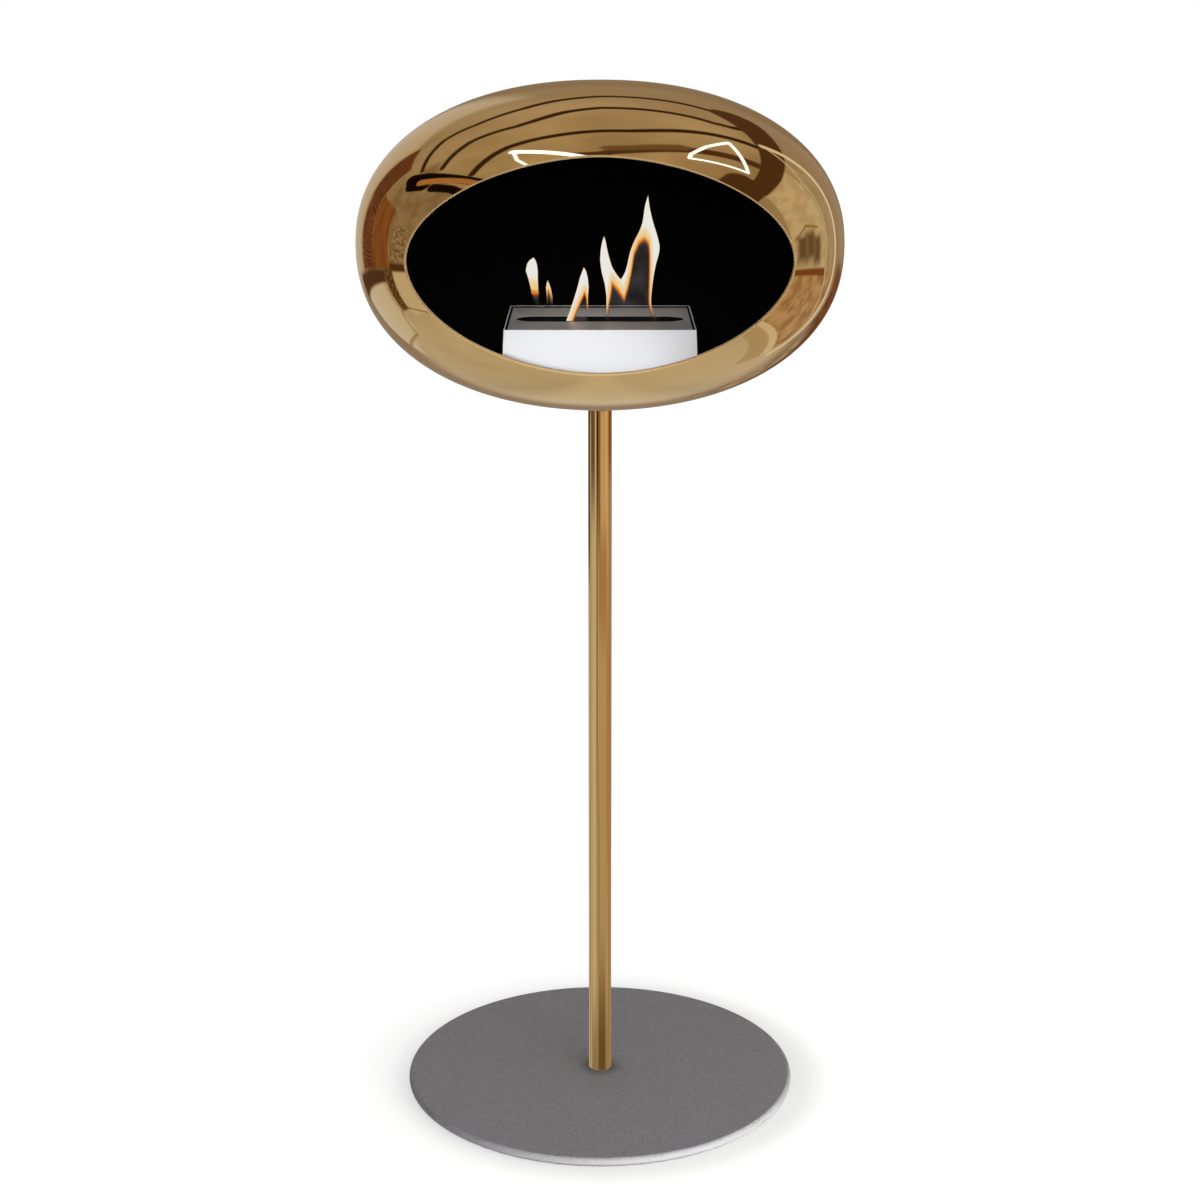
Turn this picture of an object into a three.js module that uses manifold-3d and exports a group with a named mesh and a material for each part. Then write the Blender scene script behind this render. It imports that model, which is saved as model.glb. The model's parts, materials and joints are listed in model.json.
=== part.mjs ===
// Bioethanol fireplace: an egg-shaped polished dome that turns on a slim pole over a round floor plate.
// Millimetres, +Z up, the mouth of the dome faces -Y. The origin is on the floor, on the pole's axis.
import * as THREE from "three";
import { mergeVertices } from "three/addons/utils/BufferGeometryUtils.js";
import Module from "manifold-3d";

const wasm = await Module();
wasm.setup();

// ---------- driving dimensions, mm ----------
const GAP = 0.3; // between pieces that touch

const PAD_THICKNESS = 1.7;
const PAD_OUTER_RADIUS = 253;
const PAD_INNER_RADIUS = 232;

const BASE_RADIUS = 258;
const BASE_BOTTOM = 2;
const BASE_THICKNESS = 10;
const BASE_EDGE_RADIUS = 5.5;
const BASE_LOWER_CHAMFER = 0.8;
const BASE_COUNTERBORE_RADIUS = 11;
const BASE_COUNTERBORE_DEPTH = 6;

const BASE_BOLT_RADIUS = 5;
const BASE_BOLT_HEAD_RADIUS = 8;
const BASE_BOLT_HEAD_HEIGHT = 3.4;
const BASE_BOLT_TIP = 46;
const BASE_WASHER_THICKNESS = 1;

const POLE_RADIUS = 15;
const POLE_WALL = 2;
const POLE_CHAMFER = 0.8;
const POLE_TOP = 915;
const PLUG_LENGTH = 44;

const DOME_RADIUS = 300;
const DOME_HALF_HEIGHT = 198;
const DOME_ROUNDNESS = 2.19; // exponent of the meridian: 2 is an ellipse, more is squarer
const DOME_CENTRE = 1120;
const SKIN_THICKNESS = 1.5;
const AIR_GAP = 7;
const LINER_THICKNESS = 1;
const MOUTH_HALF_WIDTH = 223.5;
const MOUTH_HALF_HEIGHT = 122;
const MOUTH_ROUNDNESS = 1.85; // under 2, so the ends are a little pointed
const LIP_WIDTH = 5;
const BLANKET_THICKNESS = 4.4;
const BLANKET_LOWER_EDGE = 138; // above the dome's centre

const SPINDLE_RADIUS = 6;
const SPINDLE_TOP = 958;
const THRUST_WASHER_THICKNESS = 2;
const RING_NUT_RADIUS = 18;
const RING_NUT_HEIGHT = 4;
const HUB_NECK_RADIUS = 12.5;
const HUB_FLANGE_RADIUS = 55;
const HUB_FLANGE_TOP = 938;
const BUSH_RADIUS = 9;
const BUSH_FLANGE_RADIUS = 12.6;
const BUSH_FLANGE_THICKNESS = 2;
const TOP_WASHER_THICKNESS = 1.5;
const DISC_SPRING_HEIGHT = 2.6;
const DISC_SPRING_SHEET = 1.2;
const LOCK_NUT_ACROSS_FLATS = 19;
const LOCK_NUT_HEIGHT = 10;

const TRAY_RADIUS = 168;
const TRAY_BOTTOM = 963;
const TRAY_SHEET = 2;
const TRAY_RIM_HEIGHT = 6;
const STANDOFF_CIRCLE = 42;
const STANDOFF_RADIUS = 6;
const STUD_RADIUS = 3;

const BURNER_BOTTOM = 970;
const BURNER_HEIGHT = 60;
const BURNER_WIDTH = 231; // at the top edge
const BURNER_DEPTH = 224; // at the top edge
const BURNER_FLARE = 3; // each side is this much further out at the bottom
const BURNER_WALL = 2;
const FOOT_RADIUS = 8;
const PLATE_RECESS = 1;
const PLATE_THICKNESS = 2;
const PLATE_SIDE_GAP = 1;
const SLOT_LENGTH = 208;
const SLOT_WIDTH = 50;
const NOTCH_WIDTH = 8;
const NOTCH_DEPTH = 4;
const RAIL_SHEET = 1.6;
const RAIL_REACH = 4.9;
const RAIL_LENGTH = 214;
const DAMPER_WIDTH = 221.6;
const DAMPER_DEPTH = 60;
const DAMPER_SHEET = 1.5;
const DAMPER_OPEN_SHIFT = -58; // from over the slot to where it is parked in front of it
const DAMPER_LEVEL = 51.6; // its underside, above the burner's underside
const TANK_LENGTH = 212;
const TANK_WIDTH = 96;
const TANK_BOTTOM = 5;
const TANK_TOP = 46;
const TANK_WALL = 1.5;
const TANK_MOUTH_LENGTH = 208;
const TANK_MOUTH_WIDTH = 54;
const COLLAR_TOP = 51;
const WICK_HEIGHT = 22;
const SCREEN_THICKNESS = 1;
const SCREEN_SLOTS = 9;

const DOME_SEGMENTS = 44;
const DOME_STEPS = 18;
const ROUND_SEGMENTS = 60;
const SMALL_SEGMENTS = 16;

// ---------- finishes ----------
const finish = (color, roughness, metalness) => () =>
  new THREE.MeshStandardMaterial({ color, roughness, metalness });
const polishedGold = finish(0xc29650, 0.08, 1);
const blackEnamel = finish(0x0c0c0c, 0.8, 0);
const greyPowderCoat = finish(0x6e6d70, 0.65, 0.1);
const stainless = finish(0xd9dbe0, 0.25, 1);
const brushedSteel = finish(0x74706c, 0.45, 1);
const zincSteel = finish(0x9fa2a6, 0.4, 1);
const bronze = finish(0x9a6c3a, 0.35, 1);
const blackRubber = finish(0x1c1b1a, 0.85, 0);
const ceramicFibre = finish(0xd8d3c6, 0.95, 0);

// ---------- making and joining solids ----------
// A closed geometry as a solid that faces out.
function solidOf(geometry) {
  const bare = geometry.clone();
  bare.deleteAttribute("normal");
  bare.deleteAttribute("uv");
  const merged = mergeVertices(bare, 1e-4);
  const index = merged.index.array;
  const kept = [];
  for (let i = 0; i < index.length; i += 3) {
    const [a, b, c] = index.subarray(i, i + 3);
    if (a !== b && b !== c && c !== a) kept.push(a, b, c);
  }
  const build = (triangles) =>
    new wasm.Manifold(
      new wasm.Mesh({
        numProp: 3,
        vertProperties: merged.attributes.position.array,
        triVerts: new Uint32Array(triangles),
      }),
    );
  const made = build(kept);
  return made.volume() < 0 ? build(kept.reverse()) : made;
}

// A profile of [radius, height] points turned about the Z axis.
function turned(profile, segments) {
  const points = profile.map(([r, z]) => new THREE.Vector2(r, z));
  const geometry = new THREE.LatheGeometry(points, segments);
  return solidOf(geometry.rotateX(Math.PI / 2));
}

function ring(inner, outer, low, high, segments = SMALL_SEGMENTS) {
  return turned([[inner, low], [outer, low], [outer, high], [inner, high], [inner, low]], segments);
}

function disc(radius, low, high, segments = SMALL_SEGMENTS, [x, y] = [0, 0]) {
  const geometry = new THREE.CylinderGeometry(radius, radius, high - low, segments);
  return solidOf(geometry.rotateX(Math.PI / 2).translate(x, y, (low + high) / 2));
}

function block(low, high) {
  const size = high.map((value, i) => value - low[i]);
  const centre = high.map((value, i) => (value + low[i]) / 2);
  return solidOf(new THREE.BoxGeometry(...size).translate(...centre));
}

// A block centred on the Z axis.
function slab(width, depth, low, high) {
  return block([-width / 2, -depth / 2, low], [width / 2, depth / 2, high]);
}

// A slab whose upper face is narrower by twice the flare.
function flaredSlab(width, depth, low, high, flare) {
  const geometry = new THREE.BoxGeometry(width, depth, high - low);
  const at = geometry.attributes.position;
  for (let i = 0; i < at.count; i++) {
    if (at.getZ(i) < 0) continue;
    at.setX(i, at.getX(i) - Math.sign(at.getX(i)) * flare);
    at.setY(i, at.getY(i) - Math.sign(at.getY(i)) * flare);
  }
  return solidOf(geometry.translate(0, 0, (low + high) / 2));
}

// A bar with two round ends along X.
function stadium(length, width, low, high) {
  const radius = width / 2;
  const reach = length / 2 - radius;
  const outline = new THREE.Shape();
  outline.absarc(reach, 0, radius, -Math.PI / 2, Math.PI / 2, false);
  outline.absarc(-reach, 0, radius, Math.PI / 2, (3 * Math.PI) / 2, false);
  const geometry = new THREE.ExtrudeGeometry(outline, {
    depth: high - low,
    bevelEnabled: false,
    curveSegments: 10,
  });
  return solidOf(geometry.translate(0, 0, low));
}

function piece(name, solid, material) {
  const mesh = solid.getMesh();
  const geometry = new THREE.BufferGeometry();
  geometry.setAttribute("position", new THREE.BufferAttribute(mesh.vertProperties, 3));
  geometry.setIndex(new THREE.BufferAttribute(mesh.triVerts, 1));
  geometry.computeVertexNormals();
  const made = new THREE.Mesh(geometry, material());
  made.name = name;
  return made;
}

function group(height, ...members) {
  const made = new THREE.Group();
  made.position.z = height;
  made.add(...members);
  return made;
}

// ---------- stand: floor plate and pole ----------
const BASE_TOP = BASE_BOTTOM + BASE_THICKNESS;
const COUNTERBORE_TOP = BASE_BOTTOM + BASE_COUNTERBORE_DEPTH;
const WASHER_LOW = COUNTERBORE_TOP - GAP - BASE_WASHER_THICKNESS;
const HEAD_LOW = WASHER_LOW - GAP - BASE_BOLT_HEAD_HEIGHT;

function floorPadRing() {
  return ring(PAD_INNER_RADIUS, PAD_OUTER_RADIUS, 0, PAD_THICKNESS, ROUND_SEGMENTS);
}

// The cap closes the bolt's counterbore and stands level with the pad ring.
function baseBoltCap() {
  return disc(BASE_COUNTERBORE_RADIUS - GAP, 0, HEAD_LOW - GAP, SMALL_SEGMENTS);
}

function basePlate() {
  const profile = [
    [0, BASE_BOTTOM],
    [BASE_RADIUS - BASE_LOWER_CHAMFER, BASE_BOTTOM],
    [BASE_RADIUS, BASE_BOTTOM + BASE_LOWER_CHAMFER],
  ];
  const arcSteps = 5;
  for (let i = 0; i <= arcSteps; i++) {
    const angle = (i / arcSteps) * (Math.PI / 2);
    profile.push([
      BASE_RADIUS - BASE_EDGE_RADIUS * (1 - Math.cos(angle)),
      BASE_TOP - BASE_EDGE_RADIUS * (1 - Math.sin(angle)),
    ]);
  }
  profile.push([0, BASE_TOP]);
  return turned(profile, ROUND_SEGMENTS)
    .subtract(disc(BASE_COUNTERBORE_RADIUS, 0, COUNTERBORE_TOP))
    .subtract(disc(BASE_BOLT_RADIUS + GAP, 0, BASE_TOP + 1));
}

function baseBolt() {
  const socket = solidOf(
    new THREE.CylinderGeometry(3.4, 3.4, 4, 6).rotateX(Math.PI / 2).translate(0, 0, HEAD_LOW),
  );
  return disc(BASE_BOLT_HEAD_RADIUS, HEAD_LOW, HEAD_LOW + BASE_BOLT_HEAD_HEIGHT)
    .add(disc(BASE_BOLT_RADIUS, HEAD_LOW + 1, BASE_BOLT_TIP))
    .subtract(socket);
}

function baseWasher() {
  return ring(BASE_BOLT_RADIUS + GAP, 10, WASHER_LOW, WASHER_LOW + BASE_WASHER_THICKNESS);
}

function poleTube() {
  const low = BASE_TOP + GAP;
  const inner = POLE_RADIUS - POLE_WALL;
  return turned(
    [
      [inner, low],
      [POLE_RADIUS - POLE_CHAMFER, low],
      [POLE_RADIUS, low + POLE_CHAMFER],
      [POLE_RADIUS, POLE_TOP - POLE_CHAMFER],
      [POLE_RADIUS - POLE_CHAMFER, POLE_TOP],
      [inner, POLE_TOP],
      [inner, low],
    ],
    36,
  );
}

// A plug fixed in one end of the tube, with a blind threaded hole from that end.
function polePlug(end, inwards, holeRadius, holeDepth) {
  const body = disc(POLE_RADIUS - POLE_WALL - GAP, ...sorted(end, end + inwards * PLUG_LENGTH));
  const hole = disc(holeRadius, ...sorted(end - inwards, end + inwards * holeDepth));
  return body.subtract(hole);
}

function sorted(a, b) {
  return a < b ? [a, b] : [b, a];
}

// ---------- swivel ----------
const RING_NUT_TOP = DOME_CENTRE - DOME_HALF_HEIGHT - GAP;
const RING_NUT_LOW = RING_NUT_TOP - RING_NUT_HEIGHT;
const THRUST_LOW = POLE_TOP + GAP;
const SPINDLE_HOLE = SPINDLE_RADIUS + GAP;
const BUSH_FLANGE_LOW = HUB_FLANGE_TOP + GAP;
const TOP_WASHER_LOW = BUSH_FLANGE_LOW + BUSH_FLANGE_THICKNESS + GAP;
const DISC_SPRING_LOW = TOP_WASHER_LOW + TOP_WASHER_THICKNESS + GAP;
const LOCK_NUT_LOW = DISC_SPRING_LOW + DISC_SPRING_HEIGHT + GAP;

function swivelSpindle() {
  const low = POLE_TOP - 38;
  return turned(
    [
      [0, low],
      [SPINDLE_RADIUS - 1, low],
      [SPINDLE_RADIUS, low + 1],
      [SPINDLE_RADIUS, SPINDLE_TOP - 1],
      [SPINDLE_RADIUS - 1, SPINDLE_TOP],
      [0, SPINDLE_TOP],
    ],
    SMALL_SEGMENTS,
  );
}

function thrustWasher() {
  return ring(SPINDLE_HOLE, 14.4, THRUST_LOW, THRUST_LOW + THRUST_WASHER_THICKNESS);
}

function hubRingNut() {
  const body = ring(HUB_NECK_RADIUS + GAP, RING_NUT_RADIUS, RING_NUT_LOW, RING_NUT_TOP, 36);
  const spannerSlot = ([x, y]) =>
    block(
      [x * RING_NUT_RADIUS - 2, y * RING_NUT_RADIUS - 2, RING_NUT_LOW - 1],
      [x * RING_NUT_RADIUS + 2, y * RING_NUT_RADIUS + 2, RING_NUT_LOW + 2],
    );
  const sides = [[1, 0], [0, 1], [-1, 0], [0, -1]];
  return sides.reduce((nut, side) => nut.subtract(spannerSlot(side)), body);
}

function swivelBush() {
  return turned(
    [
      [SPINDLE_HOLE, RING_NUT_LOW],
      [BUSH_RADIUS, RING_NUT_LOW],
      [BUSH_RADIUS, BUSH_FLANGE_LOW],
      [BUSH_FLANGE_RADIUS, BUSH_FLANGE_LOW],
      [BUSH_FLANGE_RADIUS, BUSH_FLANGE_LOW + BUSH_FLANGE_THICKNESS],
      [SPINDLE_HOLE, BUSH_FLANGE_LOW + BUSH_FLANGE_THICKNESS],
      [SPINDLE_HOLE, RING_NUT_LOW],
    ],
    SMALL_SEGMENTS,
  );
}

function topWasher() {
  return ring(SPINDLE_HOLE, 12.4, TOP_WASHER_LOW, TOP_WASHER_LOW + TOP_WASHER_THICKNESS);
}

function discSpring() {
  const rise = DISC_SPRING_HEIGHT - DISC_SPRING_SHEET;
  return turned(
    [
      [SPINDLE_HOLE, DISC_SPRING_LOW + rise],
      [12, DISC_SPRING_LOW],
      [12, DISC_SPRING_LOW + DISC_SPRING_SHEET],
      [SPINDLE_HOLE, DISC_SPRING_LOW + DISC_SPRING_HEIGHT],
      [SPINDLE_HOLE, DISC_SPRING_LOW + rise],
    ],
    SMALL_SEGMENTS,
  );
}

function lockNut() {
  const corner = LOCK_NUT_ACROSS_FLATS / Math.sqrt(3);
  const hex = new THREE.CylinderGeometry(corner, corner, LOCK_NUT_HEIGHT, 6).rotateX(Math.PI / 2);
  return solidOf(hex.translate(0, 0, LOCK_NUT_LOW + LOCK_NUT_HEIGHT / 2))
    .subtract(disc(SPINDLE_HOLE, LOCK_NUT_LOW - 1, LOCK_NUT_LOW + LOCK_NUT_HEIGHT + 1));
}

// ---------- dome, heights from its centre ----------
// The body of revolution of the dome, with its surface moved inwards by the inset.
function egg(inset) {
  const power = 2 / DOME_ROUNDNESS;
  const profile = [];
  for (let i = 0; i <= DOME_STEPS; i++) {
    const angle = (i / DOME_STEPS - 0.5) * Math.PI;
    const onAxis = i === 0 || i === DOME_STEPS;
    profile.push([
      onAxis ? 0 : (DOME_RADIUS - inset) * Math.cos(angle) ** power,
      (DOME_HALF_HEIGHT - inset) * Math.sign(angle) * Math.abs(Math.sin(angle)) ** power,
    ]);
  }
  return turned(profile, DOME_SEGMENTS);
}

// A cutter through the front of the dome, straight along Y, in the outline of its mouth.
function mouthCutter(margin) {
  const power = 2 / MOUTH_ROUNDNESS;
  const steps = 60;
  const outline = new THREE.Shape();
  for (let i = 0; i < steps; i++) {
    const angle = (i / steps) * 2 * Math.PI;
    const [c, s] = [Math.cos(angle), Math.sin(angle)];
    const x = (MOUTH_HALF_WIDTH + margin) * Math.sign(c) * Math.abs(c) ** power;
    const z = (MOUTH_HALF_HEIGHT + margin) * Math.sign(s) * Math.abs(s) ** power;
    if (i === 0) outline.moveTo(x, z);
    else outline.lineTo(x, z);
  }
  const reach = DOME_RADIUS + 20;
  const geometry = new THREE.ExtrudeGeometry(outline, { depth: reach, bevelEnabled: false });
  return solidOf(geometry.rotateX(Math.PI / 2));
}

const neckHole = () => disc(HUB_NECK_RADIUS + GAP, -DOME_RADIUS, 0);
const LINER_INSET = SKIN_THICKNESS + AIR_GAP;

function domeSkin(inset, thickness) {
  return egg(inset).subtract(egg(inset + thickness)).subtract(neckHole()).subtract(mouthCutter(0));
}

// The outer skin is two spun bowls, welded at the equator and polished over.
function outerBowl(side) {
  const half = slab(3 * DOME_RADIUS, 3 * DOME_RADIUS, ...sorted((side * GAP) / 2, side * DOME_RADIUS));
  return domeSkin(0, SKIN_THICKNESS).intersect(half);
}

// What fills the air gap between the outer skin and the liner.
function airGapFill() {
  return egg(SKIN_THICKNESS + GAP).subtract(egg(LINER_INSET - GAP));
}

function mouthLipRing() {
  return airGapFill().intersect(mouthCutter(LIP_WIDTH).subtract(mouthCutter(0)));
}

function insulationBlanket() {
  const inset = SKIN_THICKNESS + (AIR_GAP - BLANKET_THICKNESS) / 2;
  const above = slab(3 * DOME_RADIUS, 3 * DOME_RADIUS, BLANKET_LOWER_EDGE, DOME_RADIUS);
  return egg(inset).subtract(egg(inset + BLANKET_THICKNESS)).intersect(above);
}

function hubSpacerRing() {
  return airGapFill().intersect(ring(HUB_NECK_RADIUS + GAP, 38, -DOME_RADIUS, -DOME_HALF_HEIGHT / 2, 36));
}

// Its flange is dished to the liner, and its neck goes down through all the skins to the ring nut.
function domeHub() {
  const top = HUB_FLANGE_TOP - DOME_CENTRE;
  const flange = egg(LINER_INSET + LINER_THICKNESS + GAP)
    .intersect(disc(HUB_FLANGE_RADIUS, -DOME_RADIUS, top, DOME_SEGMENTS));
  const bore = disc(BUSH_RADIUS + GAP, -DOME_RADIUS, top + 1);
  const hub = flange.add(disc(HUB_NECK_RADIUS, RING_NUT_LOW - DOME_CENTRE, top - 1)).subtract(bore);
  return standoffPlaces().reduce(
    (rest, place) => rest.subtract(disc(STUD_RADIUS + GAP, top - 4.5, top + 1, 12, place)),
    hub,
  );
}

// ---------- burner tray ----------
function standoffPlaces() {
  return [90, 210, 330].map((degrees) => {
    const angle = THREE.MathUtils.degToRad(degrees);
    return [STANDOFF_CIRCLE * Math.cos(angle), STANDOFF_CIRCLE * Math.sin(angle)];
  });
}

function burnerTray() {
  const top = TRAY_BOTTOM + TRAY_SHEET;
  const body = disc(TRAY_RADIUS, TRAY_BOTTOM, TRAY_BOTTOM + TRAY_RIM_HEIGHT, ROUND_SEGMENTS)
    .subtract(disc(TRAY_RADIUS - TRAY_SHEET, top, top + TRAY_RIM_HEIGHT, ROUND_SEGMENTS));
  return standoffPlaces().reduce(
    (tray, place) => tray.subtract(disc(STUD_RADIUS + GAP, TRAY_BOTTOM - 1, top + 1, 12, place)),
    body,
  );
}

function trayStandoff() {
  const low = HUB_FLANGE_TOP + GAP;
  const high = TRAY_BOTTOM - GAP;
  return disc(STANDOFF_RADIUS, low, high, 6)
    .add(disc(STUD_RADIUS, low - 4.3, low + 1, 12))
    .subtract(disc(STUD_RADIUS + GAP, high - 12, high + 1, 12));
}

function trayScrew() {
  const seat = TRAY_BOTTOM + TRAY_SHEET + GAP;
  const head = turned([[0, seat], [5.5, seat], [5.2, seat + 1.6], [3.6, seat + 2.9], [0, seat + 3.2]], 16);
  return head
    .add(disc(STUD_RADIUS, seat - 12, seat + 1, 12))
    .subtract(disc(1.9, seat + 1.4, seat + 4, 6));
}

// ---------- burner, heights from its underside ----------
const PLATE_TOP = BURNER_HEIGHT - PLATE_RECESS;
const PLATE_LOW = PLATE_TOP - PLATE_THICKNESS;
const PLATE_WIDTH = BURNER_WIDTH - 2 * (BURNER_WALL + PLATE_SIDE_GAP);
const PLATE_DEPTH = BURNER_DEPTH - 2 * (BURNER_WALL + PLATE_SIDE_GAP);
const RAIL_OUTER = PLATE_WIDTH / 2 + 0.7;
const DAMPER_TOP = DAMPER_LEVEL + DAMPER_SHEET;

function burnerHousing() {
  const width = BURNER_WIDTH + 2 * BURNER_FLARE;
  const depth = BURNER_DEPTH + 2 * BURNER_FLARE;
  const walls = 2 * BURNER_WALL;
  const mouth = slab(BURNER_WIDTH - walls, BURNER_DEPTH - walls, BURNER_HEIGHT - 1, BURNER_HEIGHT + 1);
  const room = flaredSlab(width - walls, depth - walls, 0, BURNER_HEIGHT, BURNER_FLARE)
    .subtract(slab(width, depth, -1, BURNER_WALL))
    .add(mouth);
  return flaredSlab(width, depth, 0, BURNER_HEIGHT, BURNER_FLARE).subtract(room);
}

function burnerFoot() {
  const low = TRAY_BOTTOM + TRAY_SHEET + GAP - BURNER_BOTTOM;
  return disc(FOOT_RADIUS, low, -GAP, 20);
}

function topPlate() {
  const front = -PLATE_DEPTH / 2;
  const notch = block(
    [-NOTCH_WIDTH / 2, front - 1, PLATE_LOW - 1],
    [NOTCH_WIDTH / 2, front + NOTCH_DEPTH, PLATE_TOP + 1],
  );
  return slab(PLATE_WIDTH, PLATE_DEPTH, PLATE_LOW, PLATE_TOP)
    .subtract(stadium(SLOT_LENGTH, SLOT_WIDTH, PLATE_LOW - 1, PLATE_TOP + 1))
    .subtract(notch);
}

// A channel that carries the top plate on its upper flange and the damper on its lower one.
function rail(side) {
  const top = PLATE_LOW - GAP;
  const low = DAMPER_LEVEL - GAP - RAIL_SHEET;
  const inner = RAIL_OUTER - RAIL_REACH;
  const section = new THREE.Shape([
    new THREE.Vector2(RAIL_OUTER, low),
    new THREE.Vector2(RAIL_OUTER, top),
    new THREE.Vector2(inner, top),
    new THREE.Vector2(inner, top - RAIL_SHEET),
    new THREE.Vector2(RAIL_OUTER - RAIL_SHEET, top - RAIL_SHEET),
    new THREE.Vector2(RAIL_OUTER - RAIL_SHEET, low + RAIL_SHEET),
    new THREE.Vector2(inner, low + RAIL_SHEET),
    new THREE.Vector2(inner, low),
  ]);
  const geometry = new THREE.ExtrudeGeometry(section, { depth: RAIL_LENGTH, bevelEnabled: false });
  geometry.rotateX(Math.PI / 2).translate(0, RAIL_LENGTH / 2, 0);
  return side > 0 ? solidOf(geometry) : solidOf(geometry.rotateZ(Math.PI));
}

// The sliding lid, drawn over the slot: its tongue ends in an upturned tab for the hook.
function damper() {
  const half = DAMPER_DEPTH / 2;
  const tabFront = -PLATE_DEPTH / 2 + 1.2 - DAMPER_OPEN_SHIFT;
  const tabTop = PLATE_LOW - 0.6;
  return slab(DAMPER_WIDTH, DAMPER_DEPTH, DAMPER_LEVEL, DAMPER_TOP)
    .add(block([-6, tabFront, DAMPER_LEVEL], [6, -half + 1, DAMPER_TOP]))
    .add(block([-3.4, tabFront, DAMPER_LEVEL], [3.4, tabFront + 1.6, tabTop]))
    .add(block([-96, half - 1.5, DAMPER_LEVEL], [96, half, DAMPER_TOP + 1.5]));
}

function fuelTank() {
  const walls = 2 * TANK_WALL;
  const room = slab(TANK_LENGTH - walls, TANK_WIDTH - walls, TANK_BOTTOM + TANK_WALL, TANK_TOP - TANK_WALL);
  const collarLength = TANK_MOUTH_LENGTH + walls;
  const collarWidth = TANK_MOUTH_WIDTH + walls;
  return slab(TANK_LENGTH, TANK_WIDTH, TANK_BOTTOM, TANK_TOP)
    .add(stadium(collarLength, collarWidth, TANK_TOP - 1, COLLAR_TOP))
    .subtract(room)
    .subtract(stadium(TANK_MOUTH_LENGTH, TANK_MOUTH_WIDTH, TANK_BOTTOM + 10, COLLAR_TOP + 1));
}

const WICK_LOW = TANK_BOTTOM + TANK_WALL + GAP;
const WICK_LENGTH = TANK_LENGTH - 2 * TANK_WALL - 4;

function wickBlock() {
  return slab(WICK_LENGTH, TANK_WIDTH - 2 * TANK_WALL - 4, WICK_LOW, WICK_LOW + WICK_HEIGHT);
}

function wickScreen() {
  const low = WICK_LOW + WICK_HEIGHT + GAP;
  const high = low + SCREEN_THICKNESS;
  const pitch = WICK_LENGTH / (SCREEN_SLOTS + 0.5);
  let screen = slab(WICK_LENGTH, TANK_WIDTH - 2 * TANK_WALL - 4, low, high);
  for (let i = 0; i < SCREEN_SLOTS; i++) {
    const x = (i - (SCREEN_SLOTS - 1) / 2) * pitch;
    screen = screen.subtract(block([x - 6, -22, low - 1], [x + 6, 22, high + 1]));
  }
  return screen;
}

function tankSpacer(side) {
  const x = side * 75;
  return block([x - 15, -40, BURNER_WALL + GAP], [x + 15, 40, TANK_BOTTOM - GAP]);
}

// ---------- the object ----------
function stand() {
  return group(
    0,
    piece("floor_pad_ring", floorPadRing(), blackRubber),
    piece("base_bolt_cap", baseBoltCap(), blackRubber),
    piece("base_plate", basePlate(), greyPowderCoat),
    piece("base_bolt", baseBolt(), zincSteel),
    piece("base_washer", baseWasher(), zincSteel),
    piece("pole_foot_plug", polePlug(BASE_TOP + GAP, 1, BASE_BOLT_RADIUS + GAP, 36), zincSteel),
    piece("pole_tube", poleTube(), polishedGold),
    piece("pole_head_plug", polePlug(POLE_TOP, -1, SPINDLE_HOLE, 39), zincSteel),
    piece("swivel_spindle", swivelSpindle(), zincSteel),
    piece("thrust_washer", thrustWasher(), bronze),
    piece("top_washer", topWasher(), zincSteel),
    piece("disc_spring", discSpring(), zincSteel),
    piece("lock_nut", lockNut(), zincSteel),
  );
}

function domeBody() {
  return group(
    DOME_CENTRE,
    piece("dome_upper_skin", outerBowl(1), polishedGold),
    piece("dome_lower_skin", outerBowl(-1), polishedGold),
    piece("dome_liner", domeSkin(LINER_INSET, LINER_THICKNESS), blackEnamel),
    piece("mouth_lip_ring", mouthLipRing(), polishedGold),
    piece("insulation_blanket", insulationBlanket(), ceramicFibre),
    piece("hub_spacer_ring", hubSpacerRing(), zincSteel),
    piece("dome_hub", domeHub(), zincSteel),
  );
}

function domeFittings() {
  const made = group(
    0,
    piece("hub_ring_nut", hubRingNut(), polishedGold),
    piece("swivel_bush", swivelBush(), bronze),
    piece("burner_tray", burnerTray(), blackEnamel),
  );
  standoffPlaces().forEach(([x, y], i) => {
    const standoff = piece(`tray_standoff_${i + 1}`, trayStandoff(), zincSteel);
    const screw = piece(`tray_screw_${i + 1}`, trayScrew(), zincSteel);
    standoff.position.set(x, y, 0);
    screw.position.set(x, y, 0);
    made.add(standoff, screw);
  });
  return made;
}

function burner() {
  const lid = piece("damper", damper(), brushedSteel);
  lid.position.y = DAMPER_OPEN_SHIFT;
  const made = group(
    BURNER_BOTTOM,
    piece("burner_housing", burnerHousing(), stainless),
    piece("top_plate", topPlate(), brushedSteel),
    piece("rail_left", rail(-1), zincSteel),
    piece("rail_right", rail(1), zincSteel),
    lid,
    piece("fuel_tank", fuelTank(), stainless),
    piece("wick_block", wickBlock(), ceramicFibre),
    piece("wick_screen", wickScreen(), zincSteel),
    piece("tank_spacer_left", tankSpacer(-1), zincSteel),
    piece("tank_spacer_right", tankSpacer(1), zincSteel),
  );
  const corners = [[-1, -1], [1, -1], [1, 1], [-1, 1]];
  corners.forEach(([x, y], i) => {
    const foot = piece(`burner_foot_${i + 1}`, burnerFoot(), blackRubber);
    foot.position.set(x * (BURNER_WIDTH / 2 - 20), y * (BURNER_DEPTH / 2 - 20), 0);
    made.add(foot);
  });
  return made;
}

export default group(0, stand(), domeBody(), domeFittings(), burner());
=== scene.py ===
"""Looks for a bioethanol fireplace: a polished egg-shaped dome on a slim pole, its burner, flames and studio.

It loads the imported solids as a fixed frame, models the visible pieces over them and gives every
surface its finish. Metres, +Z up, the mouth of the dome faces -Y.
"""

import json
import math
from functools import partialmethod

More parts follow.
